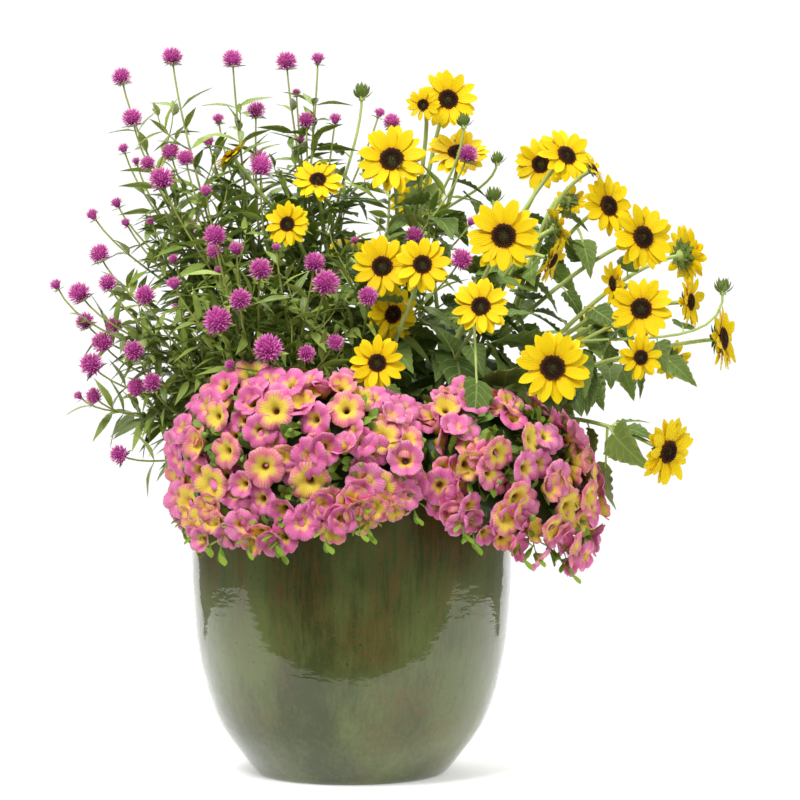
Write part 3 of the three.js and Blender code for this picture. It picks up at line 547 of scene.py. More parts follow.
@dataclass
class Form:
    """The points, faces and point marks of a mesh in millimetres, or of a template of length one."""

    points: list[np.ndarray] = field(default_factory=list)
    faces: list[tuple[int, ...]] = field(default_factory=list)
    marks: dict[str, list[float]] = field(default_factory=dict)
    rim: set[int] = field(default_factory=set)

    def add(self, point: np.ndarray, **marks: float) -> int:
        """Adds a point with its marks and gives its number."""
        for name, value in marks.items():
            self.marks.setdefault(name, [0.0] * len(self.points)).append(value)
        self.points.append(point)
        return len(self.points) - 1

    def ring(self, radius: float, level: float, sides: int, centre: np.ndarray | None = None) -> list[int]:
        """Adds a level circle of points and gives their numbers.

        Args:
            radius: the circle's radius.
            level: its height.
            sides: how many points it has.
            centre: its middle, if not on the Z axis.

        Returns:
            The points' numbers in turn.
        """
        middle = vec(0, 0, 0) if centre is None else centre
        turns = [2 * math.pi * k / sides for k in range(sides)]
        return [self.add(middle + vec(radius * math.cos(a), radius * math.sin(a), level)) for a in turns]

    def band(self, upper: list[int], lower: list[int]) -> None:
        """Adds the faces between two rings of points, facing out where the lower ring is the first below."""
        for k in range(len(upper)):
            m = (k + 1) % len(upper)
            self.faces.append((lower[k], lower[m], upper[m], upper[k]))

    def built(self, name: str, scale: float = 1.0, smooth: bool = True) -> bpy.types.Object:
        """Makes the mesh object.

        Args:
            name: the object's name.
            scale: metres for each unit of the form.
            smooth: whether its faces are shaded smooth.

        Returns:
            The object, linked to the scene.
        """
        mesh = bpy.data.meshes.new(name)
        mesh.from_pydata([tuple(p * scale) for p in self.points], [], self.faces, shade_flat=not smooth)
        for mark, values in self.marks.items():
            mesh.attributes.new(mark, "FLOAT", "POINT").data.foreach_set("value", values)
        mesh.update()
        if self.rim:
            sharp = [all(i in self.rim for i in edge.vertices) for edge in mesh.edges]
            mesh.attributes.new("sharp_edge", "BOOLEAN", "EDGE").data.foreach_set("value", sharp)
        return linked(name, mesh)


@dataclass(frozen=True)
class BladeShape:
    """The shape of a leaf, a ray or a bract of length one.

    Each station is its share of the length and its half width. fold lifts the edges, arch drops the tip,
    wave ripples the edges and ridge raises long ribs between the midrib and the edges.
    """

    stations: tuple[tuple[float, float], ...]
    thick: float
    fold: float = 0.15
    arch: float = 0.12
    wave: float = 0.0
    ridge: float = 0.0
    across: int = 4

    def height(self, row: int, v: float) -> float:
        """The height of the blade's middle surface at a station and a place across from -1 to 1."""
        u, half = self.stations[row]
        ripple = math.sin(row * 2.1 + (1.3 if v > 0 else 0)) * v * v
        ribs = -math.cos(2 * math.pi * v) * (1 - abs(v))
        return half * (self.fold * abs(v) + self.wave * ripple + self.ridge * ribs) - self.arch * u * u

    def form(self) -> Form:
        """The closed blade, lying along X with its upper face towards Z, marked along and across."""
        form = Form()
        rows = len(self.stations)
        sheets: list[list[list[int]]] = [[], []]
        for i, (u, half) in enumerate(self.stations):
            for sheet in sheets:
                sheet.append([])
            for j in range(self.across + 1):
                v = -1 + 2 * j / self.across
                edge = i in (0, rows - 1) or j in (0, self.across)
                thick = 0.0 if edge else self.thick * (1.1 - abs(v)) * 0.5
                level = self.height(i, v)
                upper = lower = form.add(vec(u, half * v, level + thick), along=u, across=v)
                if edge:
                    form.rim.add(upper)
                else:
                    lower = form.add(vec(u, half * v, level - thick), along=u, across=v)
                sheets[0][-1].append(upper)
                sheets[1][-1].append(lower)
        for sheet, flip in zip(sheets, (1, -1)):
            for low, high in zip(sheet, sheet[1:]):
                for j in range(self.across):
                    form.faces.append((low[j], high[j], high[j + 1], low[j + 1])[::flip])
        return form


AMARANTH_LEAF = BladeShape(
    ((0, 0.014), (0.07, 0.022), (0.2, 0.08), (0.36, 0.108), (0.52, 0.104), (0.7, 0.072), (0.87, 0.03),
     (1, 0.003)),
    thick=0.02, fold=0.3, arch=0.26, wave=0.1, across=2,
)
BRACT_LEAF = BladeShape(
    ((0, 0.05), (0.2, 0.17), (0.45, 0.22), (0.7, 0.15), (0.9, 0.05), (1, 0.006)),
    thick=0.04, fold=0.3, arch=0.15, across=2,
)
SUNFLOWER_LEAF = BladeShape(
    ((-0.05, 0.02), (-0.03, 0.21), (0.04, 0.335), (0.1, 0.33), (0.15, 0.37), (0.21, 0.345), (0.27, 0.36),
     (0.34, 0.315), (0.4, 0.32), (0.47, 0.26), (0.54, 0.255), (0.62, 0.19), (0.69, 0.18), (0.79, 0.1),
     (0.86, 0.085), (1, 0.004)),
    thick=0.022, fold=0.14, arch=0.3, wave=0.1, ridge=0.05,
)
SMALL_LEAF = BladeShape(
    ((0, 0.035), (0.2, 0.06), (0.45, 0.15), (0.7, 0.205), (0.88, 0.16), (1, 0.02)),
    thick=0.045, fold=0.2, arch=0.16, across=2,
)
RAY = BladeShape(
    ((0, 0.07), (0.13, 0.11), (0.3, 0.17), (0.5, 0.205), (0.68, 0.198), (0.84, 0.145), (0.94, 0.078),
     (1, 0.008)),
    thick=0.022, fold=0.14, arch=0.1, wave=0.06, ridge=0.07,
)


@dataclass(frozen=True)
class BractBall:
    """A globe amaranth's flower ball of radius one: a core with pointed bracts and a few open florets.

    back is how far towards the stalk the bracts reach, from 1 to -1, and lean turns them away from it.
    """

    bracts: int = 135
    florets: int = 30
    core: float = 0.52
    back: float = -0.85
    lean: float = 0.4

    def form(self, seed: int) -> Form:
        """The ball with its stalk side towards -X, marked along (0 at the core, 1 at the tips) and zone.

        Args:
            seed: where its random numbers start.

        Returns:
            The closed form.
        """
        draw = seeded(seed)
        form = Form()
        rings, sides = 8, 12
        for i in range(rings + 1):
            tilt = math.pi * i / rings
            for j in range(sides):
                turn = 2 * math.pi * j / sides
                out = vec(math.cos(tilt), math.sin(tilt) * math.cos(turn), math.sin(tilt) * math.sin(turn))
                form.add(out * self.core, along=0.0, zone=Zone.BLADE.value)
        for i in range(rings):
            for j in range(sides):
                a, b = i * sides + j, i * sides + (j + 1) % sides
                form.faces.append((a, a + sides, b + sides, b))
        for k in range(self.bracts):
            out = self.outward(1 - (1 - self.back) * (k + 0.5) / self.bracts, k * SPIRAL_TURN, draw)
            side = unit(np.cross(out, vec(1, 0, 0)) + 0.5 * side_of(out, draw() * 6))
            lean = unit(out + vec(self.lean, 0, 0) + 0.3 * side * (draw() - 0.5))
            reach = 0.8 + 0.28 * draw()
            self.spike(form, out * self.core * 0.86, lean, side, reach - self.core * 0.86, 0.085, Zone.BLADE)
        for k in range(self.florets):
            out = self.outward(0.97 - 1.3 * (k + 0.5) / self.florets, k * SPIRAL_TURN + 1, draw)
            lean = unit(out + vec(self.lean, 0, 0))
            start = self.core
            self.spike(form, out * start, lean, side_of(lean, draw() * 3), 1.04 - start, 0.06, Zone.SPARK)
        return form

    def outward(self, height: float, around: float, draw: Draw) -> np.ndarray:
        """A direction out of the ball, a little off its even place."""
        flat = math.sqrt(max(0.0, 1 - height * height))
        return unit(vec(height, flat * math.cos(around), flat * math.sin(around)) + 0.16 * shift_by(draw))

    def spike(self, form: Form, base: np.ndarray, lean: np.ndarray, side: np.ndarray, reach: float,
              wide: float, zone: Zone) -> None:
        """Adds a pointed scale.

        Args:
            form: the ball so far.
            base: where the scale starts.
            lean: the way it points.
            side: the way its width runs.
            reach: its length.
            wide: half its width.
            zone: what it is.
        """
        over = unit(np.cross(lean, side))
        middle = base + lean * reach * 0.52
        offsets = (side * wide, over * wide * 0.35, -side * wide, -over * wide * 0.35)
        ring = [form.add(middle + offset, along=0.5, zone=zone.value) for offset in offsets]
        root = form.add(base, along=0.1, zone=zone.value)
        end = form.add(base + lean * reach, along=1.0, zone=zone.value)
        for a, b in zip(ring, ring[1:] + ring[:1]):
            form.faces += [(root, b, a), (end, a, b)]


@dataclass(frozen=True)
class Floret:
    """One of a sunflower disc's many small florets: a peg of length one."""

    def form(self) -> Form:
        """The peg along X, with a split top."""
        form = Form()
        sides = 4
        for x, r in ((0, 0.27), (0.75, 0.37), (1.0, 0.12)):
            for k in range(sides):
                angle = 2 * math.pi * k / sides
                form.add(vec(x, r * math.cos(angle), r * math.sin(angle)), along=x, zone=Zone.SPARK.value)
        for row in range(2):
            for k in range(sides):
                a, b = row * sides + k, row * sides + (k + 1) % sides
                form.faces.append((a, b, b + sides, a + sides))
        form.faces += [tuple(range(sides - 1, -1, -1)), tuple(range(2 * sides, 3 * sides))]
        return form


@dataclass(frozen=True)
class Funnel:
    """A calibrachoa flower of radius one: five broad notched lobes that run into a short funnel.

    cup lifts the lobes forward, and turn shifts the ripples so that two flowers don't look the same.
    """

    cup: float = 0.0
    turn: float = 0.0
    sides: int = 30

    def point(self, radius: float, height: float, angle: float, level: float) -> np.ndarray:
        """A point of the flower's sheet.

        Args:
            radius: how far out it is, 1 at the rim.
            height: how far forward it is before the lobes shape it.
            angle: where it is round the flower.
            level: how far it is set back, for the lower sheet.

        Returns:
            The point.
        """
        lobe = abs(math.cos(2.5 * angle))
        outer = max(0.0, (radius - 0.35) / 0.65)
        notch = 0.15 * (1 - lobe) ** 2.0 + 0.05 * max(0.0, lobe - 0.88) / 0.12
        crease = 0.1 * (1 - lobe) ** 2 - 0.06 * lobe
        ripple = 0.07 * math.sin(3 * angle + self.turn) + 0.04 * math.sin(7 * angle + 2 * self.turn)
        r = radius * (1 - notch * outer) * (1 - 0.18 * self.cup * outer)
        r += level * 0.9 if radius < 0.5 else 0.0
        x = height - crease * outer + ripple * outer + self.cup * 0.5 * outer**1.4 - level
        return vec(x, r * math.cos(angle), r * math.sin(angle))

    def form(self) -> Form:
        """The closed flower facing X, marked reach (0 in the throat, 1 at the rim), lobe and its place."""
        form = Form()
        upper = ((0.08, -0.6), (0.2, -0.24), (0.42, -0.05), (0.75, 0.02), (1.0, -0.06))
        rows: list[list[int]] = []
        for profile, level in ((upper, 0.0), (upper[::-2], 0.035)):
            for radius, height in profile:
                shift = level * (0.2 if radius == 1.0 else 1.0)
                rows.append([])
                for k in range(self.sides):
                    angle = 2 * math.pi * k / self.sides
                    place = self.point(radius, height, angle, shift)
                    lobe = abs(math.cos(2.5 * angle))
                    rows[-1].append(form.add(place, reach=radius, lobe=lobe, wide=place[1], high=place[2]))
        for low, high in zip(rows, rows[1:] + rows[:1]):
            for k in range(self.sides):
                m = (k + 1) % self.sides
                form.faces.append((low[k], high[k], high[m], low[m]))
        return form


# Geometry Nodes


@dataclass
class Places:
    """Points at which copies of a template stand, each with its turn, size and tint."""

    points: list[np.ndarray] = field(default_factory=list)
    turns: list[np.ndarray] = field(default_factory=list)
    sizes: list[Triple] = field(default_factory=list)
    tints: list[float] = field(default_factory=list)

    def add(self, place: np.ndarray, x_axis: np.ndarray, z_hint: np.ndarray,
            size: float | Triple, tint: float) -> None:
        """Adds a copy.

        Args:
            place: where its origin stands.
            x_axis: where its X axis points.
            z_hint: roughly where its Z axis points.
            size: its scale in millimetres, or one for each axis.
            tint: a number from 0 to 1 that varies its colour.
        """
        x = unit(x_axis)
        y = unit(np.cross(z_hint, x))
        self.points.append(place)
        self.turns.append(np.column_stack((x, y, np.cross(x, y))))
        self.sizes.append(size if isinstance(size, tuple) else (size, size, size))
        self.tints.append(tint)

    def built(self, name: str) -> bpy.types.Object:
        """The points as a mesh object that a growth tree reads.

        Args:
            name: the object's name.

        Returns:
            The object, with a spin, a size and a tint for each point.
        """
        mesh = bpy.data.meshes.new(name)
        mesh.from_pydata([tuple(p * MM) for p in self.points], [], [])
        spins = [tuple(Matrix(turn.tolist()).to_quaternion()) for turn in self.turns]
        mesh.attributes.new("spin", "QUATERNION", "POINT").data.foreach_set("value", np.ravel(spins))
        sizes = np.ravel(self.sizes) * MM
        mesh.attributes.new("size", "FLOAT_VECTOR", "POINT").data.foreach_set("vector", sizes)
        mesh.attributes.new("tint", "FLOAT", "POINT").data.foreach_set("value", self.tints)
        return linked(name, mesh)


@dataclass
class Lines:
    """Lines of points with a girth at each, which a growth tree turns into round stems."""

    points: list[np.ndarray] = field(default_factory=list)
    edges: list[tuple[int, int]] = field(default_factory=list)
    girths: list[float] = field(default_factory=list)

    def add(self, spine: Line, start: float, end: float) -> None:
        """Adds a line whose radius runs from one value to another."""
        first = len(self.points)
        self.points.extend(spine)
        self.girths.extend(np.linspace(start, end, len(spine)))
        self.edges.extend((first + i, first + i + 1) for i in range(len(spine) - 1))

    def built(self, name: str) -> bpy.types.Object:
        """The lines as a mesh object of edges with a girth for each point."""
        mesh = bpy.data.meshes.new(name)
        mesh.from_pydata([tuple(p * MM) for p in self.points], self.edges, [])
        mesh.attributes.new("girth", "FLOAT", "POINT").data.foreach_set("value", np.array(self.girths) * MM)
        return linked(name, mesh)


class GrowthTree:
    """A Geometry Nodes tree that grows round stems along lines and sets copies on up to three sets."""

    SETS = ("First", "Second", "Third")

    def __init__(self) -> None:
        """Builds the tree with its named inputs."""
        self.tree = bpy.data.node_groups.new("growth", "GeometryNodeTree")
        face = self.tree.interface
        face.new_socket("Geometry", in_out="OUTPUT", socket_type="NodeSocketGeometry")
        face.new_socket("Lines", in_out="INPUT", socket_type="NodeSocketGeometry")
        sides = face.new_socket("Sides", in_out="INPUT", socket_type="NodeSocketInt")
        self.sockets = {"Sides": sides.identifier}
        for name in self.SETS:
            for kind in ("Places", "Copy"):
                socket = face.new_socket(f"{name} {kind}", in_out="INPUT", socket_type="NodeSocketObject")
                self.sockets[f"{name} {kind}"] = socket.identifier
        finish = face.new_socket("Finish", in_out="INPUT", socket_type="NodeSocketMaterial")
        self.sockets["Finish"] = finish.identifier
        self._wire()

    def _wire(self) -> None:
        """Adds and joins the nodes."""
        nodes, links = self.tree.nodes, self.tree.links
        inputs, output = nodes.new("NodeGroupInput"), nodes.new("NodeGroupOutput")
        curve, sweep = nodes.new("GeometryNodeMeshToCurve"), nodes.new("GeometryNodeCurveToMesh")
        ring = nodes.new("GeometryNodeCurvePrimitiveCircle")
        girth = nodes.new("GeometryNodeInputNamedAttribute")
        mark, join = nodes.new("GeometryNodeStoreNamedAttribute"), nodes.new("GeometryNodeJoinGeometry")
        girth.data_type = "FLOAT"
        girth.inputs["Name"].default_value = "girth"
        ring.inputs["Radius"].default_value = 1.0
        sweep.inputs["Fill Caps"].default_value = True
        mark.data_type = "FLOAT"
        mark.inputs["Name"].default_value = "zone"
        mark.inputs["Value"].default_value = Zone.STEM.value
        links.new(inputs.outputs["Lines"], curve.inputs["Mesh"])
        links.new(curve.outputs["Curve"], sweep.inputs["Curve"])
        links.new(inputs.outputs["Sides"], ring.inputs["Resolution"])
        links.new(ring.outputs["Curve"], sweep.inputs["Profile Curve"])
        links.new(girth.outputs["Attribute"], sweep.inputs["Scale"])
        links.new(sweep.outputs["Mesh"], mark.inputs["Geometry"])
        links.new(mark.outputs["Geometry"], join.inputs["Geometry"])
        for name in self.SETS:
            places, copy = nodes.new("GeometryNodeObjectInfo"), nodes.new("GeometryNodeObjectInfo")
            spin, size = (nodes.new("GeometryNodeInputNamedAttribute") for _ in range(2))
            stand = nodes.new("GeometryNodeInstanceOnPoints")
            spin.data_type, size.data_type = "QUATERNION", "FLOAT_VECTOR"
            spin.inputs["Name"].default_value = "spin"
            size.inputs["Name"].default_value = "size"
            copy.inputs["As Instance"].default_value = True
            links.new(inputs.outputs[f"{name} Places"], places.inputs["Object"])
            links.new(inputs.outputs[f"{name} Copy"], copy.inputs["Object"])
            links.new(places.outputs["Geometry"], stand.inputs["Points"])
            links.new(copy.outputs["Geometry"], stand.inputs["Instance"])
            links.new(spin.outputs["Attribute"], stand.inputs["Rotation"])
            links.new(size.outputs["Attribute"], stand.inputs["Scale"])
            links.new(stand.outputs["Instances"], join.inputs["Geometry"])
        real, dress = nodes.new("GeometryNodeRealizeInstances"), nodes.new("GeometryNodeSetMaterial")
        links.new(join.outputs["Geometry"], real.inputs["Geometry"])
        links.new(real.outputs["Geometry"], dress.inputs["Geometry"])
        links.new(inputs.outputs["Finish"], dress.inputs["Material"])
        links.new(dress.outputs["Geometry"], output.inputs["Geometry"])

    def grow(self, name: str, finish: bpy.types.Material, lines: Lines | None = None, sides: int = 7,
             sets: Sequence[tuple[Places, bpy.types.Object]] = ()) -> bpy.types.Object:
        """Grows a plain mesh object.

        Args:
            name: the piece's name.
            finish: its material.
            lines: the lines that become round stems.
            sides: how many sides the stems have.
            sets: up to three pairs of places and the template that stands on them.

        Returns:
            The finished piece at the origin.
        """
        carrier = (lines or Lines()).built(f"{name}_lines")
        modifier = carrier.modifiers.new("growth", "NODES")
        modifier.node_group = self.tree
        modifier[self.sockets["Sides"]] = sides
        modifier[self.sockets["Finish"]] = finish
        helpers = [carrier]
        for label, (places, template) in zip(self.SETS, sets):
            points = places.built(f"{name}_{label.lower()}_places")
            helpers.append(points)
            modifier[self.sockets[f"{label} Places"]] = points
            modifier[self.sockets[f"{label} Copy"]] = template
        graph = bpy.context.evaluated_depsgraph_get()
        mesh = bpy.data.meshes.new_from_object(carrier.evaluated_get(graph))
        for helper in helpers:
            bpy.data.objects.remove(helper)
        mesh.name = name
        return linked(name, mesh)


# Finishes


class Shader:
    """A small helper that adds nodes to a material and joins them."""

    def __init__(self, name: str) -> None:
        """Starts a material with only its main shader."""
        self.material = bpy.data.materials.new(name)
        self.material.use_nodes = True
        self.nodes = self.material.node_tree.nodes
        self.links = self.material.node_tree.links
        self.main = self.nodes["Principled BSDF"]

    def mark(self, name: str) -> Socket:
        """A point mark of the mesh as a number."""
        node = self.nodes.new("ShaderNodeAttribute")
        node.attribute_name = name
        return node.outputs["Fac"]

    def place(self) -> Socket:
        """The place on the object in metres."""
        return self.nodes.new("ShaderNodeTexCoord").outputs["Object"]

    def noise(self, scale: float, detail: float = 3.0, stretch: Triple | None = None,
              rough: float = 0.55) -> Socket:
        """A noise over the object, from 0 to 1.

        Args:
            scale: how many bumps there are in a metre.
            detail: how many finer layers it has.
            stretch: a scale for each axis.
            rough: how strong the finer layers are.

        Returns:
            The noise as a number.
        """
        node = self.nodes.new("ShaderNodeTexNoise")
        node.inputs["Scale"].default_value = scale
        node.inputs["Detail"].default_value = detail
        node.inputs["Roughness"].default_value = rough
        where = self.place()
        if stretch:
            mapping = self.nodes.new("ShaderNodeMapping")
            mapping.inputs["Scale"].default_value = stretch
            self.links.new(where, mapping.inputs["Vector"])
            where = mapping.outputs["Vector"]
        self.links.new(where, node.inputs["Vector"])
        return node.outputs["Fac"]

    def math(self, operation: str, *values: Number,
             clamp: bool = False) -> Socket:
        """A sum or other operation.

        Args:
            operation: its name.
            values: the numbers or sockets it works on.
            clamp: whether the result stays between 0 and 1.

        Returns:
            The result.
        """
        node = self.nodes.new("ShaderNodeMath")
        node.operation = operation
        node.use_clamp = clamp
        for socket, value in zip(node.inputs, values):
            if isinstance(value, (int, float)):
                socket.default_value = value
            else:
                self.links.new(value, socket)
        return node.outputs["Value"]

    def times(self, a: Number, b: Number, clamp: bool = False) -> Socket:
        """The product of two values."""
        return self.math("MULTIPLY", a, b, clamp=clamp)

    def plus(self, a: Number, b: Number) -> Socket:
        """The sum of two values."""
        return self.math("ADD", a, b)

    def minus(self, a: Number, b: Number, clamp: bool = False) -> Socket:
        """One value less another."""
        return self.math("SUBTRACT", a, b, clamp=clamp)

    def ramp(self, value: Socket,
             *stops: tuple[float, Triple]) -> Socket:
        """Colours along a value.

        Args:
            value: the value, from 0 to 1.
            stops: pairs of a position and a colour.

        Returns:
            The colour.
        """
        node = self.nodes.new("ShaderNodeValToRGB")
        elements = node.color_ramp.elements
        while len(elements) < len(stops):
            elements.new(0.5)
        for element, (position, colour) in zip(elements, stops):
            element.position = position
            element.color = (*colour, 1.0)
        self.links.new(value, node.inputs["Fac"])
        return node.outputs["Color"]

    def mix(self, share: Number, a: Colour,
            b: Colour) -> Socket:
        """Two colours mixed.

        Args:
            share: how much of the second there is.
            a: the first colour.
            b: the second colour.

        Returns:
            The mixed colour.
        """
        node = self.nodes.new("ShaderNodeMix")
        node.data_type = "RGBA"
        for index, value in ((0, share), (6, a), (7, b)):
            socket = node.inputs[index]
            if isinstance(value, tuple):
                socket.default_value = (*value, 1.0)
            elif isinstance(value, (int, float)):
                socket.default_value = value
            else:
                self.links.new(value, socket)
        return node.outputs[2]

    def bump(self, height: Socket, strength: float, distance: float) -> None:
        """Low relief from a height."""
        node = self.nodes.new("ShaderNodeBump")
        node.inputs["Strength"].default_value = strength
        node.inputs["Distance"].default_value = distance
        self.links.new(height, node.inputs["Height"])
        self.links.new(node.outputs["Normal"], self.main.inputs["Normal"])

    def dress(self, colour: Socket, roughness: Number,
              specular: float = 0.5, glow: float = 0.0) -> bpy.types.Material:
        """Ends the material.

        Args:
            colour: the surface colour.
            roughness: how dull it is.
            specular: how much it shines.
            glow: the share of light that passes below the surface.

        Returns:
            The material.
        """
        self.links.new(colour, self.main.inputs["Base Color"])
        if isinstance(roughness, (int, float)):
            self.main.inputs["Roughness"].default_value = roughness
        else:
            self.links.new(roughness, self.main.inputs["Roughness"])
        self.main.inputs["Specular IOR Level"].default_value = specular
        if glow:
            self.main.inputs["Subsurface Weight"].default_value = glow
            self.main.inputs["Subsurface Radius"].default_value = (1.0, 1.0, 0.4)
            self.main.inputs["Subsurface Scale"].default_value = 0.002
        return self.material


@dataclass(frozen=True)
class LeafFinish:
    """Leaf green with a pale midrib, side veins and stems of their own green."""

    name: str
    dark: Triple
    light: Triple
    vein: Triple
    stem: Triple
    veins: float = 9.0
    vein_slant: float = 2.5
    roughness: float = 0.5
    shine: float = 0.25

    def material(self) -> bpy.types.Material:
        """The finished material."""
        s = Shader(self.name)
        along, across, tint = s.mark("along"), s.math("ABSOLUTE", s.mark("across")), s.mark("tint")
        patch = s.plus(s.times(tint, 0.75), s.times(s.noise(60), 0.35))
        blade = s.ramp(patch, (0.1, self.dark), (0.95, self.light))
        rib = s.minus(1.0, s.times(across, 11.0), clamp=True)
        slant = s.times(across, self.vein_slant)
        slanted = s.minus(s.times(along, self.veins), slant)
        wave = s.math("MAXIMUM", s.math("SINE", s.times(slanted, 6.283)), 0.0)
        side = s.times(s.math("POWER", wave, 14.0), 0.5)
        veined = s.mix(s.math("MAXIMUM", s.times(rib, 0.8), side), blade, self.vein)
        woody = s.ramp(s.noise(45), (0.3, self.stem), (0.75, tuple(c * 1.35 for c in self.stem)))
        zone = s.math("MINIMUM", s.mark("zone"), 1.0)
        s.bump(s.plus(side, s.times(s.noise(900), 0.4)), 0.35, 0.0006)
        return s.dress(s.mix(zone, veined, woody), self.roughness, specular=self.shine, glow=0.12)


@dataclass(frozen=True)
class BallFinish:
    """Magenta bracts with paler tips and small yellow florets."""

    deep: Triple = (0.30, 0.02, 0.20)
    bright: Triple = (0.64, 0.08, 0.44)
    tip: Triple = (0.90, 0.40, 0.72)
    spark: Triple = (0.95, 0.42, 0.14)

    def material(self) -> bpy.types.Material:
        """The finished material."""
        s = Shader("amaranth_bracts")
        along = s.mark("along")
        bract = s.ramp(along, (0.0, self.deep), (0.45, self.bright), (1.0, self.tip))
        varied = s.mix(s.times(s.mark("tint"), 0.35), bract, (0.80, 0.14, 0.58))
        yellow = s.minus(s.mark("zone"), 1.0, clamp=True)
        share = s.times(yellow, s.math("GREATER_THAN", along, 0.72))
        s.bump(s.noise(1500), 0.3, 0.0004)
        return s.dress(s.mix(share, varied, self.spark), 0.55, specular=0.2, glow=0.12)


@dataclass(frozen=True)
class HeadFinish:
    """Yellow rays with fine grooves round a dark disc with a grey-green middle."""

    root: Triple = (0.88, 0.36, 0.004)
    ray: Triple = (0.92, 0.65, 0.004)
    tip: Triple = (0.94, 0.73, 0.008)
    disc: Triple = (0.020, 0.009, 0.006)
    eye: Triple = (0.13, 0.11, 0.05)
    fuzz: Triple = (0.11, 0.042, 0.014)

    def material(self) -> bpy.types.Material:
        """The finished material."""
        s = Shader("sunflower_heads")
        along, across, tint = s.mark("along"), s.mark("across"), s.mark("tint")
        yellow = s.ramp(along, (0.0, self.root), (0.35, self.ray), (1.0, self.tip))
        groove = s.math("POWER", s.math("ABSOLUTE", s.math("SINE", s.times(across, 9.0))), 3.0)
        rayed = s.mix(s.times(groove, 0.16), yellow, (0.85, 0.42, 0.004))
        warm = s.mix(s.times(tint, 0.2), rayed, (0.93, 0.52, 0.003))
        seeds = s.ramp(tint, (0.0, self.eye), (0.3, self.disc), (0.75, self.disc), (1.0, self.fuzz))
        tipped = s.mix(s.times(s.math("GREATER_THAN", along, 0.9), 0.5), seeds, self.fuzz)
        s.bump(s.plus(groove, s.times(s.noise(1200), 0.3)), 0.4, 0.0005)
        share = s.math("GREATER_THAN", s.mark("zone"), 1.5)
        return s.dress(s.mix(share, warm, tipped), 0.5, specular=0.12, glow=0.12)


@dataclass(frozen=True)
class FunnelFinish:
    """Veined lobes, a yellow star and a dark throat, in blooms that are pink, salmon or mostly yellow."""

    pink: Triple = (0.73, 0.105, 0.37)
    light: Triple = (0.80, 0.24, 0.48)
    salmon: Triple = (0.80, 0.24, 0.22)
    star: Triple = (0.82, 0.66, 0.07)
    rim: Triple = (0.88, 0.45, 0.52)
    deep: Triple = (0.46, 0.03, 0.16)
    throat: Triple = (0.20, 0.04, 0.015)

    def material(self) -> bpy.types.Material:
        """The finished material."""
        s = Shader("calibrachoa_blooms")
        reach, lobe, tint = s.mark("reach"), s.mark("lobe"), s.mark("tint")
        petal = s.ramp(tint, (0.0, self.pink), (0.25, self.light), (0.38, self.pink), (0.5, self.light),
                       (0.6, self.salmon), (1.0, self.salmon))
        angle = s.math("ARCTAN2", s.mark("high"), s.mark("wide"))
        wander = s.plus(s.times(angle, 17.5), s.times(s.noise(240), 4.0))
        stripes = s.math("POWER", s.math("ABSOLUTE", s.math("SINE", wander)), 14.0)
        clouded = s.mix(s.times(s.noise(130), 0.28), petal, self.rim)
        pale = s.mix(s.times(s.minus(reach, 0.76), 1.6, clamp=True), clouded, self.rim)
        shaded = s.mix(s.times(s.minus(1.0, lobe), 0.5), pale, self.deep)
        broad = s.times(s.minus(tint, 0.42), 0.72, clamp=True)
        edge = s.plus(s.times(lobe, 0.14), s.plus(broad, 0.35))
        ragged = s.plus(s.minus(edge, reach), s.times(s.noise(300), 0.16))
        starred = s.mix(s.times(ragged, 3.6, clamp=True), shaded, self.star)
        veined = s.mix(s.times(stripes, 0.5), starred, self.deep)
        ring = s.plus(reach, s.times(s.noise(500), 0.12))
        dark = s.times(s.minus(0.30, ring), 6.0, clamp=True)
        s.bump(s.plus(stripes, s.noise(500)), 0.3, 0.0006)
        return s.dress(s.mix(dark, veined, self.throat), 0.55, specular=0.15, glow=0.15)


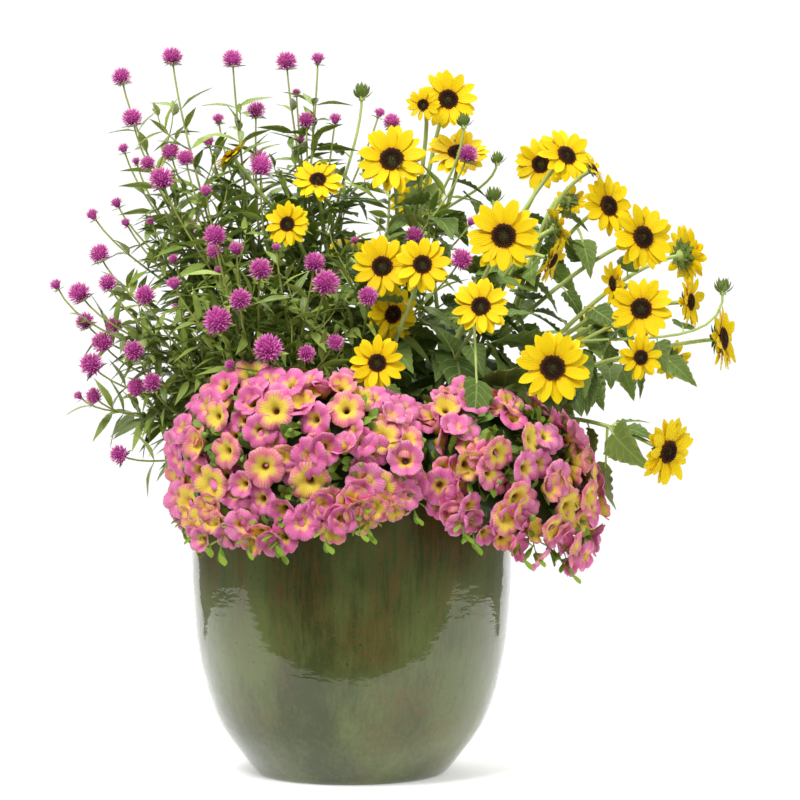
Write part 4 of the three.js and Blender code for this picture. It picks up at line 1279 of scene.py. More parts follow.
@dataclass(frozen=True)
class GlazeFinish:
    """Olive glaze over stoneware, with rust-brown runs in its upper part, pinholes and a high gloss."""

    olive: Triple = (0.044, 0.058, 0.012)
    moss: Triple = (0.108, 0.138, 0.036)
    rust: Triple = (0.135, 0.066, 0.016)
    speck: Triple = (0.26, 0.20, 0.10)

    def material(self) -> bpy.types.Material:
        """The finished material."""
        s = Shader("pot_glaze")
        cloud = s.noise(11, 6.0, stretch=(1.0, 1.0, 0.5))
        runs = s.noise(210, 8.0, stretch=(1.0, 1.0, 0.09), rough=0.78)
        patch = s.plus(s.times(cloud, 0.65), s.times(runs, 0.35))
        base = s.ramp(patch, (0.42, self.olive), (0.58, self.moss))
        split = s.nodes.new("ShaderNodeSeparateXYZ")
        s.links.new(s.place(), split.inputs["Vector"])
        high = s.times(s.minus(split.outputs["Z"], 0.10), 8.0, clamp=True)
        broad = s.noise(30, 4.0, stretch=(1.0, 1.0, 0.2))
        fine = s.plus(s.times(runs, 1.35), s.times(broad, 0.65))
        streaks = s.times(s.minus(fine, 1.0), 6.0, clamp=True)
        mottle = s.times(s.noise(210, 5.0, rough=0.75), s.noise(9, 2.0))
        blots = s.times(s.minus(mottle, 0.27), 12.0, clamp=True)
        rusty = s.math("MAXIMUM", s.times(streaks, high), s.times(blots, 0.6))
        coloured = s.mix(s.times(rusty, 0.72), base, self.rust)
        pits = s.math("GREATER_THAN", s.noise(330, 1.0), 0.74)
        pitted = s.mix(s.times(pits, 0.75), coloured, (0.018, 0.014, 0.008))
        dots = s.math("GREATER_THAN", s.noise(700, 1.0), 0.73)
        dotted = s.mix(s.times(dots, 0.4), pitted, self.speck)
        ripples = s.times(s.noise(60, 2.0, stretch=(1.0, 1.0, 2.2)), 0.22)
        waves = s.plus(s.noise(14, 2.0), ripples)
        s.bump(s.minus(waves, s.times(dots, 0.03)), 0.3, 0.005)
        bumped = s.main.inputs["Normal"].links[0].from_socket
        s.links.new(bumped, s.main.inputs["Coat Normal"])
        s.main.inputs["Coat Weight"].default_value = 1.0
        s.main.inputs["Coat Roughness"].default_value = 0.02
        s.main.inputs["Coat IOR"].default_value = 1.45
        rough = s.plus(0.3, s.times(cloud, 0.2))
        return s.dress(dotted, rough, specular=0.2)


@dataclass(frozen=True)
class SoilFinish:
    """Dark, crumbly potting mix."""

    def material(self) -> bpy.types.Material:
        """The finished material."""
        s = Shader("potting_mix")
        crumbs = s.noise(260, 5.0, rough=0.7)
        colour = s.ramp(crumbs, (0.3, (0.012, 0.008, 0.005)), (0.6, (0.05, 0.032, 0.02)),
                        (0.8, (0.13, 0.09, 0.055)))
        s.bump(crumbs, 0.8, 0.003)
        return s.dress(colour, 0.95, specular=0.2)


AMARANTH_GREEN = LeafFinish("amaranth_greens", (0.070, 0.125, 0.014), (0.340, 0.450, 0.080),
                            (0.40, 0.48, 0.16), (0.28, 0.32, 0.07), veins=8.0, roughness=0.36, shine=0.4)
SUNFLOWER_GREEN = LeafFinish("sunflower_greens", (0.060, 0.110, 0.018), (0.200, 0.290, 0.060),
                             (0.32, 0.42, 0.13), (0.38, 0.47, 0.14), veins=6.0, vein_slant=1.6,
                             roughness=0.6)
CALIBRACHOA_GREEN = LeafFinish("calibrachoa_greens", (0.060, 0.140, 0.010), (0.240, 0.380, 0.035),
                               (0.30, 0.45, 0.08), (0.18, 0.28, 0.05), veins=5.0)
# The core's dark green is painted shade: the mound's shaded inside, darker than the leaves' own green
CORE_SHADE_GREEN = LeafFinish("calibrachoa_core", (0.014, 0.035, 0.006), (0.040, 0.080, 0.012),
                        (0.04, 0.08, 0.015), (0.02, 0.05, 0.01))


# Sub-assemblies


@dataclass
class Kit:
    """The growth tree, the templates and the finishes that the plants share."""

    growth: GrowthTree = field(default_factory=GrowthTree)
    templates: dict[str, bpy.types.Object] = field(default_factory=dict)
    finishes: dict[str, bpy.types.Material] = field(default_factory=dict)

    def stock(self) -> None:
        """Builds every template and finish."""
        forms = {
            "amaranth_leaf": AMARANTH_LEAF.form(), "bract_leaf": BRACT_LEAF.form(), "ray": RAY.form(),
            "sunflower_leaf": SUNFLOWER_LEAF.form(), "small_leaf": SMALL_LEAF.form(),
            "floret": Floret().form(), "ball": BractBall().form(3),
            "tuft": BractBall(bracts=75, florets=16, core=0.42, back=-0.15, lean=0.8).form(4),
            "funnel": Funnel(turn=0.7).form(), "funnel_cup": Funnel(0.7, 2.6).form(),
        }
        for name, form in forms.items():
            self.templates[name] = form.built(f"template_{name}", smooth=name not in ("ball", "tuft"))
        self.finishes = {
            "amaranth": AMARANTH_GREEN.material(), "ball": BallFinish().material(),
            "sunflower": SUNFLOWER_GREEN.material(), "head": HeadFinish().material(),
            "calibrachoa": CALIBRACHOA_GREEN.material(), "core": CORE_SHADE_GREEN.material(),
            "funnel": FunnelFinish().material(), "glaze": GlazeFinish().material(),
            "soil": SoilFinish().material(),
        }

    def clear(self) -> None:
        """Removes the templates once everything has grown."""
        for template in self.templates.values():
            bpy.data.objects.remove(template)


def hand_over(piece: bpy.types.Object, slot: str, *nodes: str) -> None:
    """Fixes a finished piece to the planter in place of its plain nodes.

    Args:
        piece: the finished piece.
        slot: the record's material slot, which is not used.
        nodes: the nodes it stands for.
    """
    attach(piece, "root")
    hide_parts(*nodes)
    LOG.info("%s: %d faces for %s", piece.name, len(piece.data.polygons), ", ".join(nodes))


@dataclass
class Pot:
    """The turned and glazed pot with its drain holes."""

    sides: int = 144

    def profile(self) -> list[tuple[float, float]]:
        """The wall's section from the middle of the base, up the outside and down the inside."""
        outer = [
            (FOOT_RADIUS - 5, 0), (FOOT_RADIUS - 1, 1), (FOOT_RADIUS + 3, 5), (121, 20), (137, 40),
            (147.5, 56), (155.5, 74), (163.5, 99), (170, 126), (174.5, 154), (177, 185), (179.2, 214),
            (POT_RADIUS, 242), (179.6, 268), (178.6, 292), (POT_RADIUS - 3, POT_HEIGHT - 8),
        ]
        lip = [
            (POT_RADIUS - 4, POT_HEIGHT - 3), (POT_RADIUS - 6.5, POT_HEIGHT), (POT_RADIUS - 10, POT_HEIGHT),
            (POT_RADIUS - WALL + 1, POT_HEIGHT - 2), (POT_RADIUS - WALL, POT_HEIGHT - 6),
        ]
        inner = [(POT_RADIUS - WALL, 242), (153, 126), (124, 52), (104, BASE_THICKNESS)]
        return [*outer, *lip, *inner]

    def build(self, kit: Kit) -> None:
        """Builds the wall and the base and drills the base.

        Args:
            kit: the shared tree, templates and finishes.
        """
        form = Form()
        profile = self.profile()
        rows = [form.ring(r, z, self.sides) for r, z in profile]
        for low, high in zip(rows, rows[1:]):
            form.band(high, low)
        form.faces += [tuple(rows[0][::-1]), tuple(rows[-1])]
        blank = form.built("pot_blank", MM)
        piece = self._drilled(blank)
        piece.data.materials.clear()
        piece.data.materials.append(kit.finishes["glaze"])
        hand_over(piece, "glaze", "pot")

    def _drilled(self, blank: bpy.types.Object) -> bpy.types.Object:
        """The pot with its three drain holes cut.

        Args:
            blank: the undrilled pot, which is used up.

        Returns:
            The pot as a plain mesh object.
        """
        drill = Form()
        for hole in range(3):
            angle = 2 * math.pi * hole / 3
            spot = vec(math.cos(angle), math.sin(angle), 0) * DRAIN_RING
            low, high = (drill.ring(DRAIN_RADIUS, z, 24, spot) for z in (-10, BASE_THICKNESS + 10))
            drill.band(high, low)
            drill.faces += [tuple(low[::-1]), tuple(high)]
        cutter = drill.built("pot_drill", MM)
        modifier = blank.modifiers.new("drain", "BOOLEAN")
        modifier.object = cutter
        graph = bpy.context.evaluated_depsgraph_get()
        mesh = bpy.data.meshes.new_from_object(blank.evaluated_get(graph))
        for helper in (blank, cutter):
            bpy.data.objects.remove(helper)
        return linked("pot_glazed", mesh)


@dataclass
class Soil:
    """The potting mix, with a rough surface."""

    sides: int = 96
    rings: int = 26

    def build(self, kit: Kit) -> None:
        """Builds the surface and the hidden block below it.

        Args:
            kit: the shared tree, templates and finishes.
        """
        draw = seeded(77)
        form = Form()
        reach = POT_RADIUS - WALL - 1.2
        rows = []
        for i in range(self.rings):
            r = reach * (i + 1) / self.rings
            rows.append(form.ring(r, SOIL_TOP - 4.0 * max(0.0, (r - 150) / (reach - 150)), self.sides))
            if i < self.rings - 1:
                for number in rows[-1]:
                    form.points[number] += UP * 2.6 * (draw() - 0.8)
        for r, z in ((POT_RADIUS - WALL - 1, 242), (152, 126), (123, 53), (103, BASE_THICKNESS + 0.5)):
            rows.append(form.ring(r, z, self.sides))
        for high, low in zip(rows, rows[1:]):
            form.band(high, low)
        form.faces += [tuple(rows[0]), tuple(rows[-1][::-1])]
        piece = form.built("potting_mix", MM)
        piece.data.materials.append(kit.finishes["soil"])
        hand_over(piece, "soil", "soil")


def leaf_heading(tangent: np.ndarray, side: np.ndarray, lift: float) -> np.ndarray:
    """The way a leaf leaves its stem: out to a side and a little along the stem."""
    return unit(side * 0.86 + tangent * lift)


def leaf_up(heading: np.ndarray, roll: float = 0.0) -> np.ndarray:
    """The direction that a leaf's upper face looks, rolled about the leaf by an angle."""
    level = UP - heading * float(heading @ UP)
    face = unit(level) if np.linalg.norm(level) > 0.1 else side_of(heading, 0)
    return turned_about(face, heading, roll)


@dataclass
class AmaranthSpray:
    """One leafy stem of the globe amaranth with its stalks and flower balls."""

    name: str
    root: tuple[float, float]
    fork: Triple
    heads: list[tuple[float, float, float, float]]
    stem: Limb | None = None
    stalks: list[Limb] = field(default_factory=list)

    @property
    def owner(self) -> str:
        """The plain node this spray stands for."""
        return f"amaranth_{self.name}"

    def facing(self, index: int) -> np.ndarray:
        """The way a ball's stalk arrives at it."""
        return unit(unit(vec(*self.heads[index][:3]) - vec(*self.fork)) + UP * 0.8)

    def route(self, routing: Routing) -> None:
        """Routes the stalks between the other plants."""
        girth = STEM_GIRTH["stalk"]
        for i, (x, y, z, _) in enumerate(self.heads):
            share, end = 0.5 + 0.5 * i / (len(self.heads) - 1), vec(x, y, z)
            self.stalks.append(routing.stalk(self.owner, self.stem, share, end, self.facing(i), girth))

    def leaf(self, places: Places, limb: Line, share: float, turn: float, length: float,
             draw: Draw) -> None:
        """Adds a leaf at a share of a line."""
        point, tangent = on_spine(limb, share)
        heading = leaf_heading(tangent, side_of(tangent, turn), 0.25 + 0.5 * draw())
        roll = 1.7 * (draw() - 0.5)
        places.add(point, heading, leaf_up(heading, roll), length * (0.85 + 0.3 * draw()), draw())

    def shoot(self, lines: Lines, places: Places, start: np.ndarray, heading: np.ndarray, length: float,
              draw: Draw) -> None:
        """Adds a leafy side shoot that curves up.

        Args:
            lines: takes its stem.
            places: takes its leaves.
            start: where it leaves the stem.
            heading: the way it leaves.
            length: how long it is.
            draw: gives random numbers.
        """
        tip = start + heading * length * 0.8 + UP * length * 0.5
        curve = Curve((start, start + heading * length * 0.35, tip - UP * length * 0.25, tip))
        spine = curve.spaced(6)
        lines.add(spine, 1.1, 0.6)
        for i, share in enumerate((0.35, 0.65, 0.97)):
            for half in (0, math.pi):
                self.leaf(places, spine, share, i * math.pi / 2 + half + draw() * 0.6, 46 - 12 * share, draw)

    def build(self, kit: Kit) -> None:
        """Builds the greens and the balls.

        Args:
            kit: the shared tree, templates and finishes.
        """
        draw = seeded(len(self.name) * 31 + len(self.heads))
        lines, leaves, collars, balls, tufts = Lines(), Places(), Places(), Places(), Places()
        self._leafy_stem(lines, leaves, draw)
        for stalk in self.stalks:
            self._leafy_stalk(lines, leaves, stalk, draw)
        for i, (x, y, z, across) in enumerate(self.heads):
            centre, facing = vec(x, y, z), self.facing(i)
            for k in range(4):
                heading = unit(side_of(facing, k * 1.57 + draw()) * 0.9 + facing * 0.25)
                length = across * (0.5 + 0.14 * draw())
                collars.add(centre - facing * across * 0.34, heading, facing, length, draw())
            chosen, size = (tufts, 0.58) if across < SMALL_BALL else (balls, 0.51)
            chosen.add(centre, facing, side_of(facing, draw() * 6), across * size, draw())
        foliage = [(leaves, kit.templates["amaranth_leaf"]), (collars, kit.templates["bract_leaf"])]
        greens = kit.growth.grow(f"{self.owner}_greens", kit.finishes["amaranth"], lines, 7, foliage)
        flowers = kit.growth.grow(f"{self.owner}_balls", kit.finishes["ball"], None, 7,
                                  [(balls, kit.templates["ball"]), (tufts, kit.templates["tuft"])])
        for piece in (greens, flowers):
            hand_over(piece, "amaranth", self.owner)

    def _leafy_stem(self, lines: Lines, leaves: Places, draw: Draw) -> None:
        """Adds the main stem with its pairs of leaves and side shoots.

        Args:
            lines: takes the stems.
            leaves: takes the leaves.
            draw: gives random numbers.
        """
        body = softened(self.stem.spine, 22, 2)
        lines.add(body, STEM_GIRTH["amaranth"] * 0.95, STEM_GIRTH["amaranth"] * 0.55)
        for i, share in enumerate(np.arange(0.16, 0.97, 0.075)):
            turn = i * math.pi / 2 + draw() * 0.7
            for half in (0, math.pi):
                self.leaf(leaves, body, share, turn + half, 70 - 14 * share, draw)
            if share > 0.25:
                point, tangent = on_spine(body, share)
                for half in (0.8, 0.8 + math.pi):
                    heading = unit(side_of(tangent, turn + half) + tangent * 0.5)
                    self.shoot(lines, leaves, point, heading, 55 + 40 * draw(), draw)

    def _leafy_stalk(self, lines: Lines, leaves: Places, stalk: Limb, draw: Draw) -> None:
        """Adds one flower stalk with a pair of leaves every so often, bare below its ball.

        Args:
            lines: takes the stems.
            leaves: takes the leaves.
            stalk: the routed stalk.
            draw: gives random numbers.
        """
        spine = stalk.curve.spaced(12)
        lines.add(spine, 1.5, 1.0)
        bare = 0.8 if stalk.length > LONG_STALK else 0.95
        pairs = int(stalk.length * bare / LEAF_PAIR_STEP)
        for k in range(pairs):
            share = bare * (k + 0.5) / pairs
            for half in (0, math.pi):
                turn = k * math.pi / 2 + half + draw() * 0.5
                self.leaf(leaves, spine, share, turn, 58 - 24 * share, draw)
            if k % 2 and share < 0.62:
                point, tangent = on_spine(spine, share)
                heading = unit(side_of(tangent, draw() * 6) + tangent * 0.6)
                self.shoot(lines, leaves, point, heading, 38 + 24 * draw(), draw)


@dataclass
class SunflowerHead:
    """One sunflower: two whorls of rays round a domed disc of florets."""

    name: str
    centre: np.ndarray
    facing: np.ndarray
    across: float
    seeds: int = 150

    def build(self, kit: Kit, seed: int) -> None:
        """Builds the head as one piece.

        Args:
            kit: the shared tree, templates and finishes.
            seed: where its random numbers start.
        """
        draw = seeded(seed)
        right = side_of(self.facing, draw() * 3)
        over = np.cross(self.facing, right)
        sets = [(self._rays(right, over, draw), kit.templates["ray"]),
                (self._florets(right, over), kit.templates["floret"])]
        piece = kit.growth.grow(f"{self.name}_bloom", kit.finishes["head"], None, 6, sets)
        hand_over(piece, "sunflower_head", self.name)

    def _rays(self, right: np.ndarray, over: np.ndarray, draw: Draw) -> Places:
        """The places of both whorls of rays.

        Args:
            right: one direction across the head.
            over: the other direction across the head.
            draw: gives random numbers.

        Returns:
            A place for each ray.
        """
        rays = Places()
        count = 12 if self.across < SMALL_HEAD else 14
        disc = self.across * DISC_SHARE
        for whorl, (lift, base, size) in enumerate(((0.1, 0.4, 1.0), (0.28, 1.4, 0.98))):
            number = count - 5 * whorl
            for k in range(number):
                angle = 2 * math.pi * (k + 0.5 * whorl + 0.5 * (draw() - 0.5)) / number
                out = right * math.cos(angle) + over * math.sin(angle)
                heading = unit(out + self.facing * (lift + 0.3 * (draw() - 0.5)))
                length = (self.across / 2 - disc * 0.75) * size * (0.94 + 0.16 * draw())
                wide = length * (0.95 + 0.25 * draw())
                up = unit(self.facing + np.cross(heading, self.facing) * 0.5 * (draw() - 0.5))
                start = self.centre + out * disc * 0.75 + self.facing * base
                rays.add(start, heading, up, (length, wide, length), draw())
        return rays

    def _florets(self, right: np.ndarray, over: np.ndarray) -> Places:
        """The places of the disc's florets, in a spiral over its dome.

        Args:
            right: one direction across the head.
            over: the other direction across the head.

        Returns:
            A place for each floret.
        """
        florets = Places()
        disc = self.across * DISC_SHARE
        for k in range(self.seeds):
            share = math.sqrt((k + 0.5) / self.seeds)
            angle = k * SPIRAL_TURN
            out = right * math.cos(angle) + over * math.sin(angle)
            dome = disc * (0.42 * (1 - share**3) - 0.2 * max(0.0, 0.45 - share))
            size = disc * (0.2 + 0.2 * share**2)
            heading = unit(self.facing + out * share * 0.6)
            place = self.centre + out * disc * share + self.facing * (dome + 0.6)
            florets.add(place, heading, out, size, share)
        return florets


@dataclass
class SunflowerStem:
    """One branching sunflower stem: its stalks, leaves, green cups and buds."""

    name: str
    root: tuple[float, float]
    fork: Triple
    heads: list[tuple[float, float, float, float, float, float]]
    buds: list[tuple[float, float, float, float]]
    leaves: list[tuple[float, float, float, float]]
    stem: Limb | None = None
    stalks: list[Limb] = field(default_factory=list)

    @property
    def owner(self) -> str:
        """The plain node this stem stands for."""
        return f"sunflower_{self.name}"

    def head_name(self, index: int) -> str:
        """The plain node of one of its heads."""
        return f"{self.owner}_head_{index + 1}"

    def share(self, index: int) -> float:
        """Where on the stem a stalk leaves it."""
        return 0.5 + 0.5 * index / (len(self.heads) + len(self.buds) - 1)

    def route(self, routing: Routing) -> None:
        """Routes the stalks of the heads and then of the buds.

        Args:
            routing: keeps every plant's space.
        """
        for i, (x, y, z, across, turn, tilt) in enumerate(self.heads):
            facing = facing_of(turn, tilt)
            neck = vec(x, y, z) - facing * across * 0.07
            self.stalks.append(routing.stalk(self.owner, self.stem, self.share(i), neck, facing,
                                             STEM_GIRTH["neck"], self.head_name(i)))
        girth = STEM_GIRTH["stalk"]
        for i, (x, y, z, _) in enumerate(self.buds):
            share = self.share(len(self.heads) + i)
            self.stalks.append(routing.stalk(self.owner, self.stem, share, vec(x, y, z), UP, girth))

    def leaf(self, lines: Lines, places: Places, spine: Line, share: float, turn: float,
             size: float, draw: Draw) -> None:
        """Adds a toothed leaf on its leaf stalk.

        Args:
            lines: takes the leaf stalk.
            places: takes the leaf.
            spine: the line it leaves.
            share: where on the line it leaves.
            turn: its turn about the line.
            size: its size beside a full leaf.
            draw: gives random numbers.
        """
        point, tangent = on_spine(spine, share)
        heading = unit(side_of(tangent, turn) + tangent * 0.3 - UP * 0.5 * draw())
        neck = point + heading * 30 * size
        lines.add([point, point + heading * 15 * size + UP * 2, neck], 1.6 * size + 0.3, 1.1 * size + 0.2)
        drooping = unit(heading - UP * 0.3 * draw())
        face = leaf_up(heading, 1.3 * (draw() - 0.5))
        places.add(neck - heading * 3, drooping, face, 86 * size, draw())

    def large_leaf(self, lines: Lines, places: Places, tip: np.ndarray, length: float, shade: float) -> None:
        """Adds one of the largest leaves, on a leaf stalk from the part that suits its reach best.

        Args:
            lines: takes the leaf stalk.
            places: takes the leaf.
            tip: where the leaf ends.
            length: how long it is.
            shade: a number from 0 to 1 that varies its colour and its roll.
        """
        roots = [on_spine(limb.spine, share)[0] for limb in (self.stem, *self.stalks)
                 for share in (0.2, 0.35, 0.5, 0.65, 0.8)]
        root = min(roots, key=lambda point: abs(float(np.linalg.norm(tip - point)) - 1.4 * length))
        heading = unit(tip - root)
        neck = tip - heading * length
        lines.add([root, (root + neck) / 2 + UP * 2, neck + heading * 3], 1.7, 1.2)
        outward = vec(0, 1 if self.fork[1] > 100 else -1, 0)
        face = turned_about(unit(UP * 0.6 + outward), heading, 2.4 * (shade - 0.5))
        places.add(neck, heading, face, (length, length * 0.85, length), shade)

    def cup(self, places: Places, lines: Lines, centre: np.ndarray, facing: np.ndarray, across: float,
            draw: Draw) -> None:
        """Adds the green cup of bracts behind a head.

        Args:
            places: takes the bracts.
            lines: takes the base of the cup.
            centre: the head's middle.
            facing: the way it faces.
            across: its width.
            draw: gives random numbers.
        """
        spine = [centre - facing * across * back for back in (0.15, 0.09, 0.02)]
        lines.add(spine, STEM_GIRTH["neck"] * 1.1, across * 0.16)
        for whorl, (number, reach, lean) in enumerate(((11, 0.25, 0.1), (9, 0.2, -0.25))):
            for k in range(number):
                side = side_of(facing, 2 * math.pi * (k + 0.5 * whorl) / number + 0.3 * draw())
                heading = unit(side + facing * (lean + 0.2 * (draw() - 0.5)))
                start = centre + side * across * 0.07 - facing * (across * 0.05 + whorl * 1.5)
                length = across * reach * (0.9 + 0.25 * draw())
                places.add(start, heading, -facing, length, 0.35 + 0.5 * draw())

    def build(self, kit: Kit) -> None:
        """Builds the greens, then each head.

        Args:
            kit: the shared tree, templates and finishes.
        """
        draw = seeded(len(self.name) * 17 + len(self.heads))
        lines, leaves, bracts = Lines(), Places(), Places()
        body = softened(self.stem.spine, 22, 2)
        lines.add(body, STEM_GIRTH["sunflower"] * 0.95, STEM_GIRTH["sunflower"] * 0.6)
        for i, share in enumerate(np.arange(0.2, 0.99, 0.075)):
            self.leaf(lines, leaves, body, share, i * 2.4 + draw(), 1.2 - 0.35 * share, draw)
        for stalk in self.stalks:
            spine = stalk.curve.spaced(14)
            lines.add(spine, min(stalk.girth + 0.4, 2.6), stalk.girth)
            count = int(stalk.length / 42)
            for k in range(count):
                share = 0.12 + 0.68 * k / count
                self.leaf(lines, leaves, spine, share, k * 2.4 + draw() * 2, 0.6 - 0.25 * share, draw)
        for x, y, z, length in self.leaves:
            self.large_leaf(lines, leaves, vec(x, y, z), length, draw())
        for i, (x, y, z, across, turn, tilt) in enumerate(self.heads):
            facing = facing_of(turn, tilt)
            self.cup(bracts, lines, vec(x, y, z), facing, across, draw)
        for x, y, z, across in self.buds:
            self.bud(bracts, lines, vec(x, y, z), across, draw)
        foliage = [(leaves, kit.templates["sunflower_leaf"]), (bracts, kit.templates["bract_leaf"])]
        piece = kit.growth.grow(f"{self.owner}_greens", kit.finishes["sunflower"], lines, 9, foliage)
        hand_over(piece, "sunflower_stem", self.owner)
        for i, (x, y, z, across, turn, tilt) in enumerate(self.heads):
            head = SunflowerHead(self.head_name(i), vec(x, y, z), facing_of(turn, tilt), across)
            head.build(kit, 100 + i + len(self.name) * 7)

    def bud(self, places: Places, lines: Lines, centre: np.ndarray, across: float,
            draw: Draw) -> None:
        """Adds a closed bud: bracts that wrap a green core and point up.

        Args:
            places: takes the bracts.
            lines: takes the core.
            centre: the bud's middle.
            across: its width.
            draw: gives random numbers.
        """
        spine = [centre + UP * across * rise for rise in (-0.4, -0.1, 0.3)]
        lines.add(spine, across * 0.2, across * 0.12)
        for k in range(20):
            side = side_of(UP, k * 2.4)
            heading = unit(side * (0.7 - 0.02 * k) + UP * (0.35 + 0.05 * k))
            start = centre + side * across * 0.16 - UP * across * (0.3 - 0.015 * k)
            places.add(start, heading, side, across * (0.6 + 0.15 * draw()), 0.4 + 0.5 * draw())


@dataclass
class Mound:
    """One calibrachoa plant: a leafy mound that hangs over the rim, covered with flowers."""

    name: str
    seed: int
    fringe: float
    keys: list[tuple[float, float, float, float, float]]

    def section(self, around: float) -> tuple[float, float, float, float]:
        """The arc's radius, height, own radius and drop at an angle round the pot."""
        table = np.array(self.keys, dtype=float)
        return tuple(float(np.interp(around, table[:, 0], table[:, k])) for k in range(1, 5))

    def surface(self, around: float, share: float,
                inset: float) -> tuple[np.ndarray, np.ndarray, float, float]:
        """A point of the flower surface.

        Args:
            around: the angle round the pot in degrees.
            share: from the top behind, 0, to the foot of the hanging part, 1.
            inset: how far below the flowers the point lies.

        Returns:
            The point, its outward direction, its distance from the pot's axis and the section's length.
        """
        radius, height, arc, drop = self.section(around)
        arc_length = arc * math.radians(ARC_TOP - ARC_FOOT)
        distance = share * (arc_length + drop)
        turn = math.radians(ARC_TOP) - min(distance, arc_length) / arc
        below = max(0.0, distance - arc_length)
        lean = -DROP_LEAN if below > 0 else math.sin(turn)
        reach = radius + (arc - inset) * math.cos(turn) - below * DROP_LEAN
        level = height + (arc - inset) * math.sin(turn) - below
        angle = math.radians(around)
        outward = vec(math.sin(angle), -math.cos(angle), 0)
        normal = unit(outward * math.cos(turn) + UP * lean)
        return outward * reach + UP * level, normal, reach, arc_length + drop

    def flowers(self) -> list[tuple[np.ndarray, np.ndarray, float, float]]:
        """The flowers' places in staggered rows: centre, direction, radius and spin."""
        draw = seeded(self.seed)
        start, end = self.keys[0][0], self.keys[-1][0]
        length = self.surface((start + end) / 2, 0.5, 0)[3]
        rows = int((1 - BLOOM_START) * length / (BLOOM_SPACING * 0.93) + 0.5)
        made = []
        for row in range(rows):
            share = BLOOM_START + (1 - BLOOM_START) * (row + 0.5) / rows
            reach = self.surface((start + end) / 2, share, 0)[2]
            count = int(math.radians(end - start) * reach / BLOOM_SPACING + 0.5)
            for i in range(count):
                around = start + (end - start) * (i + 0.25 + 0.5 * (row % 2) + 0.8 * (draw() - 0.5)) / count
                along = share + 0.8 * (draw() - 0.5) / rows
                point, normal, _, _ = self.surface(around, along, -3 * draw())
                tilt = shift_by(draw) * 0.9
                radius = BLOOM_RADIUS * (0.8 + 0.27 * draw())
                outward = unit(vec(point[0], point[1], 0))
                made.append((point, unit(normal + tilt + outward * 0.5), radius, draw() * 2))
        return made

    def core(self) -> Form:
        """The leafy core below the flowers, closed over the pot's lip and down outside the wall."""
        shares = np.linspace(0, 0.92, 12)
        rounds = np.linspace(self.keys[0][0], self.keys[-1][0], 40)
        inner = POT_RADIUS + WALL_STAND_OFF
        form = Form()
        for around in rounds:
            angle = math.radians(around)
            outward = vec(math.sin(angle), -math.cos(angle), 0)
            outer = [self.surface(around, share, CORE_INSET) for share in shares]
            line = []
            for share, (point, _, reach, _) in zip(shares, outer):
                line.append((max(reach, inner + 3) if share > 0.5 else reach, point[2]))
            line += [(inner, line[-1][1]), (inner, POT_HEIGHT + 0.4), (line[0][0], POT_HEIGHT + 0.4)]
            for r, z in line:
                form.add(outward * r + UP * z)
        ring = len(shares) + 3
        for i in range(len(rounds) - 1):
            for k in range(ring):
                a, b = i * ring + k, i * ring + (k + 1) % ring
                form.faces.append((a, b, b + ring, a + ring)[::-1])
        last = (len(rounds) - 1) * ring
        form.faces += [tuple(range(ring)), tuple(range(last + ring - 1, last - 1, -1))]
        return form

    def build(self, kit: Kit) -> None:
        """Builds the core, the leaves and the flowers.

        Args:
            kit: the shared tree, templates and finishes.
        """
        node = f"calibrachoa_{self.name}"
        core = self.core().built(f"{node}_core", MM)
        # the core wears the dark green of painted shade
        core.data.materials.append(kit.finishes["core"])
        draw = seeded(self.seed + 50)
        blooms, cups, buds, leaves, lines = Places(), Places(), Places(), Places(), Lines()
        for i, (centre, normal, radius, spin) in enumerate(self.flowers()):
            push = (0.0, 5.0, 2.0, 7.0, 3.5)[i % 5]
            chosen = cups if i % 4 == 2 else blooms
            chosen.add(centre + normal * push, normal, side_of(normal, spin), radius * 1.04, draw())
        self._fillers(blooms, cups, buds, draw)
        self._hang(blooms, cups, draw)
        self._leaves(leaves, np.array(blooms.points + cups.points), draw)
        self._ends(leaves, draw)
        self._trails(lines, leaves, draw)
        greens = kit.growth.grow(f"{node}_greens", kit.finishes["calibrachoa"], lines, 5,
                                 [(leaves, kit.templates["small_leaf"]), (buds, kit.templates["floret"])])
        flowers = kit.growth.grow(f"{node}_blooms", kit.finishes["funnel"], None, 5,
                                  [(blooms, kit.templates["funnel"]), (cups, kit.templates["funnel_cup"])])
        for piece in (core, greens, flowers):
            hand_over(piece, "calibrachoa", node)

    def _fillers(self, blooms: Places, cups: Places, buds: Places, draw: Draw) -> None:
        """Adds small flowers and buds where the rows of flowers leave room.

        Args:
            blooms: takes the open flowers.
            cups: takes the half-open flowers.
            buds: takes the buds.
            draw: gives random numbers.
        """
        start, end = self.keys[0][0], self.keys[-1][0]
        placed = np.array(blooms.points + cups.points)
        for i in range(int((end - start) * FILLERS_PER_DEGREE)):
            around = start + (end - start) * draw()
            point, normal, _, _ = self.surface(around, 0.05 + 0.93 * draw(), 8 * draw())
            if np.linalg.norm(placed - point, axis=1).min() < FILLER_CLEARANCE:
                continue
            facing = unit(normal + shift_by(draw) * 1.1)
            if i % 4 == 3:
                buds.add(point + normal * 4, facing, side_of(facing, draw() * 6), 7 + 3 * draw(), 0.0)
            else:
                chosen = cups if i % 2 else blooms
                chosen.add(point, facing, side_of(facing, draw() * 6), 15 + 5 * draw(), draw())

    def _hang(self, blooms: Places, cups: Places, draw: Draw) -> None:
        """Adds the fringe of flowers round the mound's lower edge.

        Args:
            blooms: takes the open flowers.
            cups: takes the half-open flowers.
            draw: gives random numbers.
        """
        start = self.keys[0][0]
        hanging = int((self.fringe - start) / FRINGE_STEP)
        for i in range(hanging):
            around = start + (self.fringe - start) * (i + draw()) / hanging
            point, normal, _, _ = self.surface(around, 0.9 + 0.17 * draw(), -4 * draw())
            facing = unit(normal + vec(draw() - 0.5, draw() - 0.5, draw() - 0.8) * 0.8)
            (blooms, cups)[i % 2].add(point, facing, side_of(facing, draw() * 6), 14 + 5 * draw(), draw())

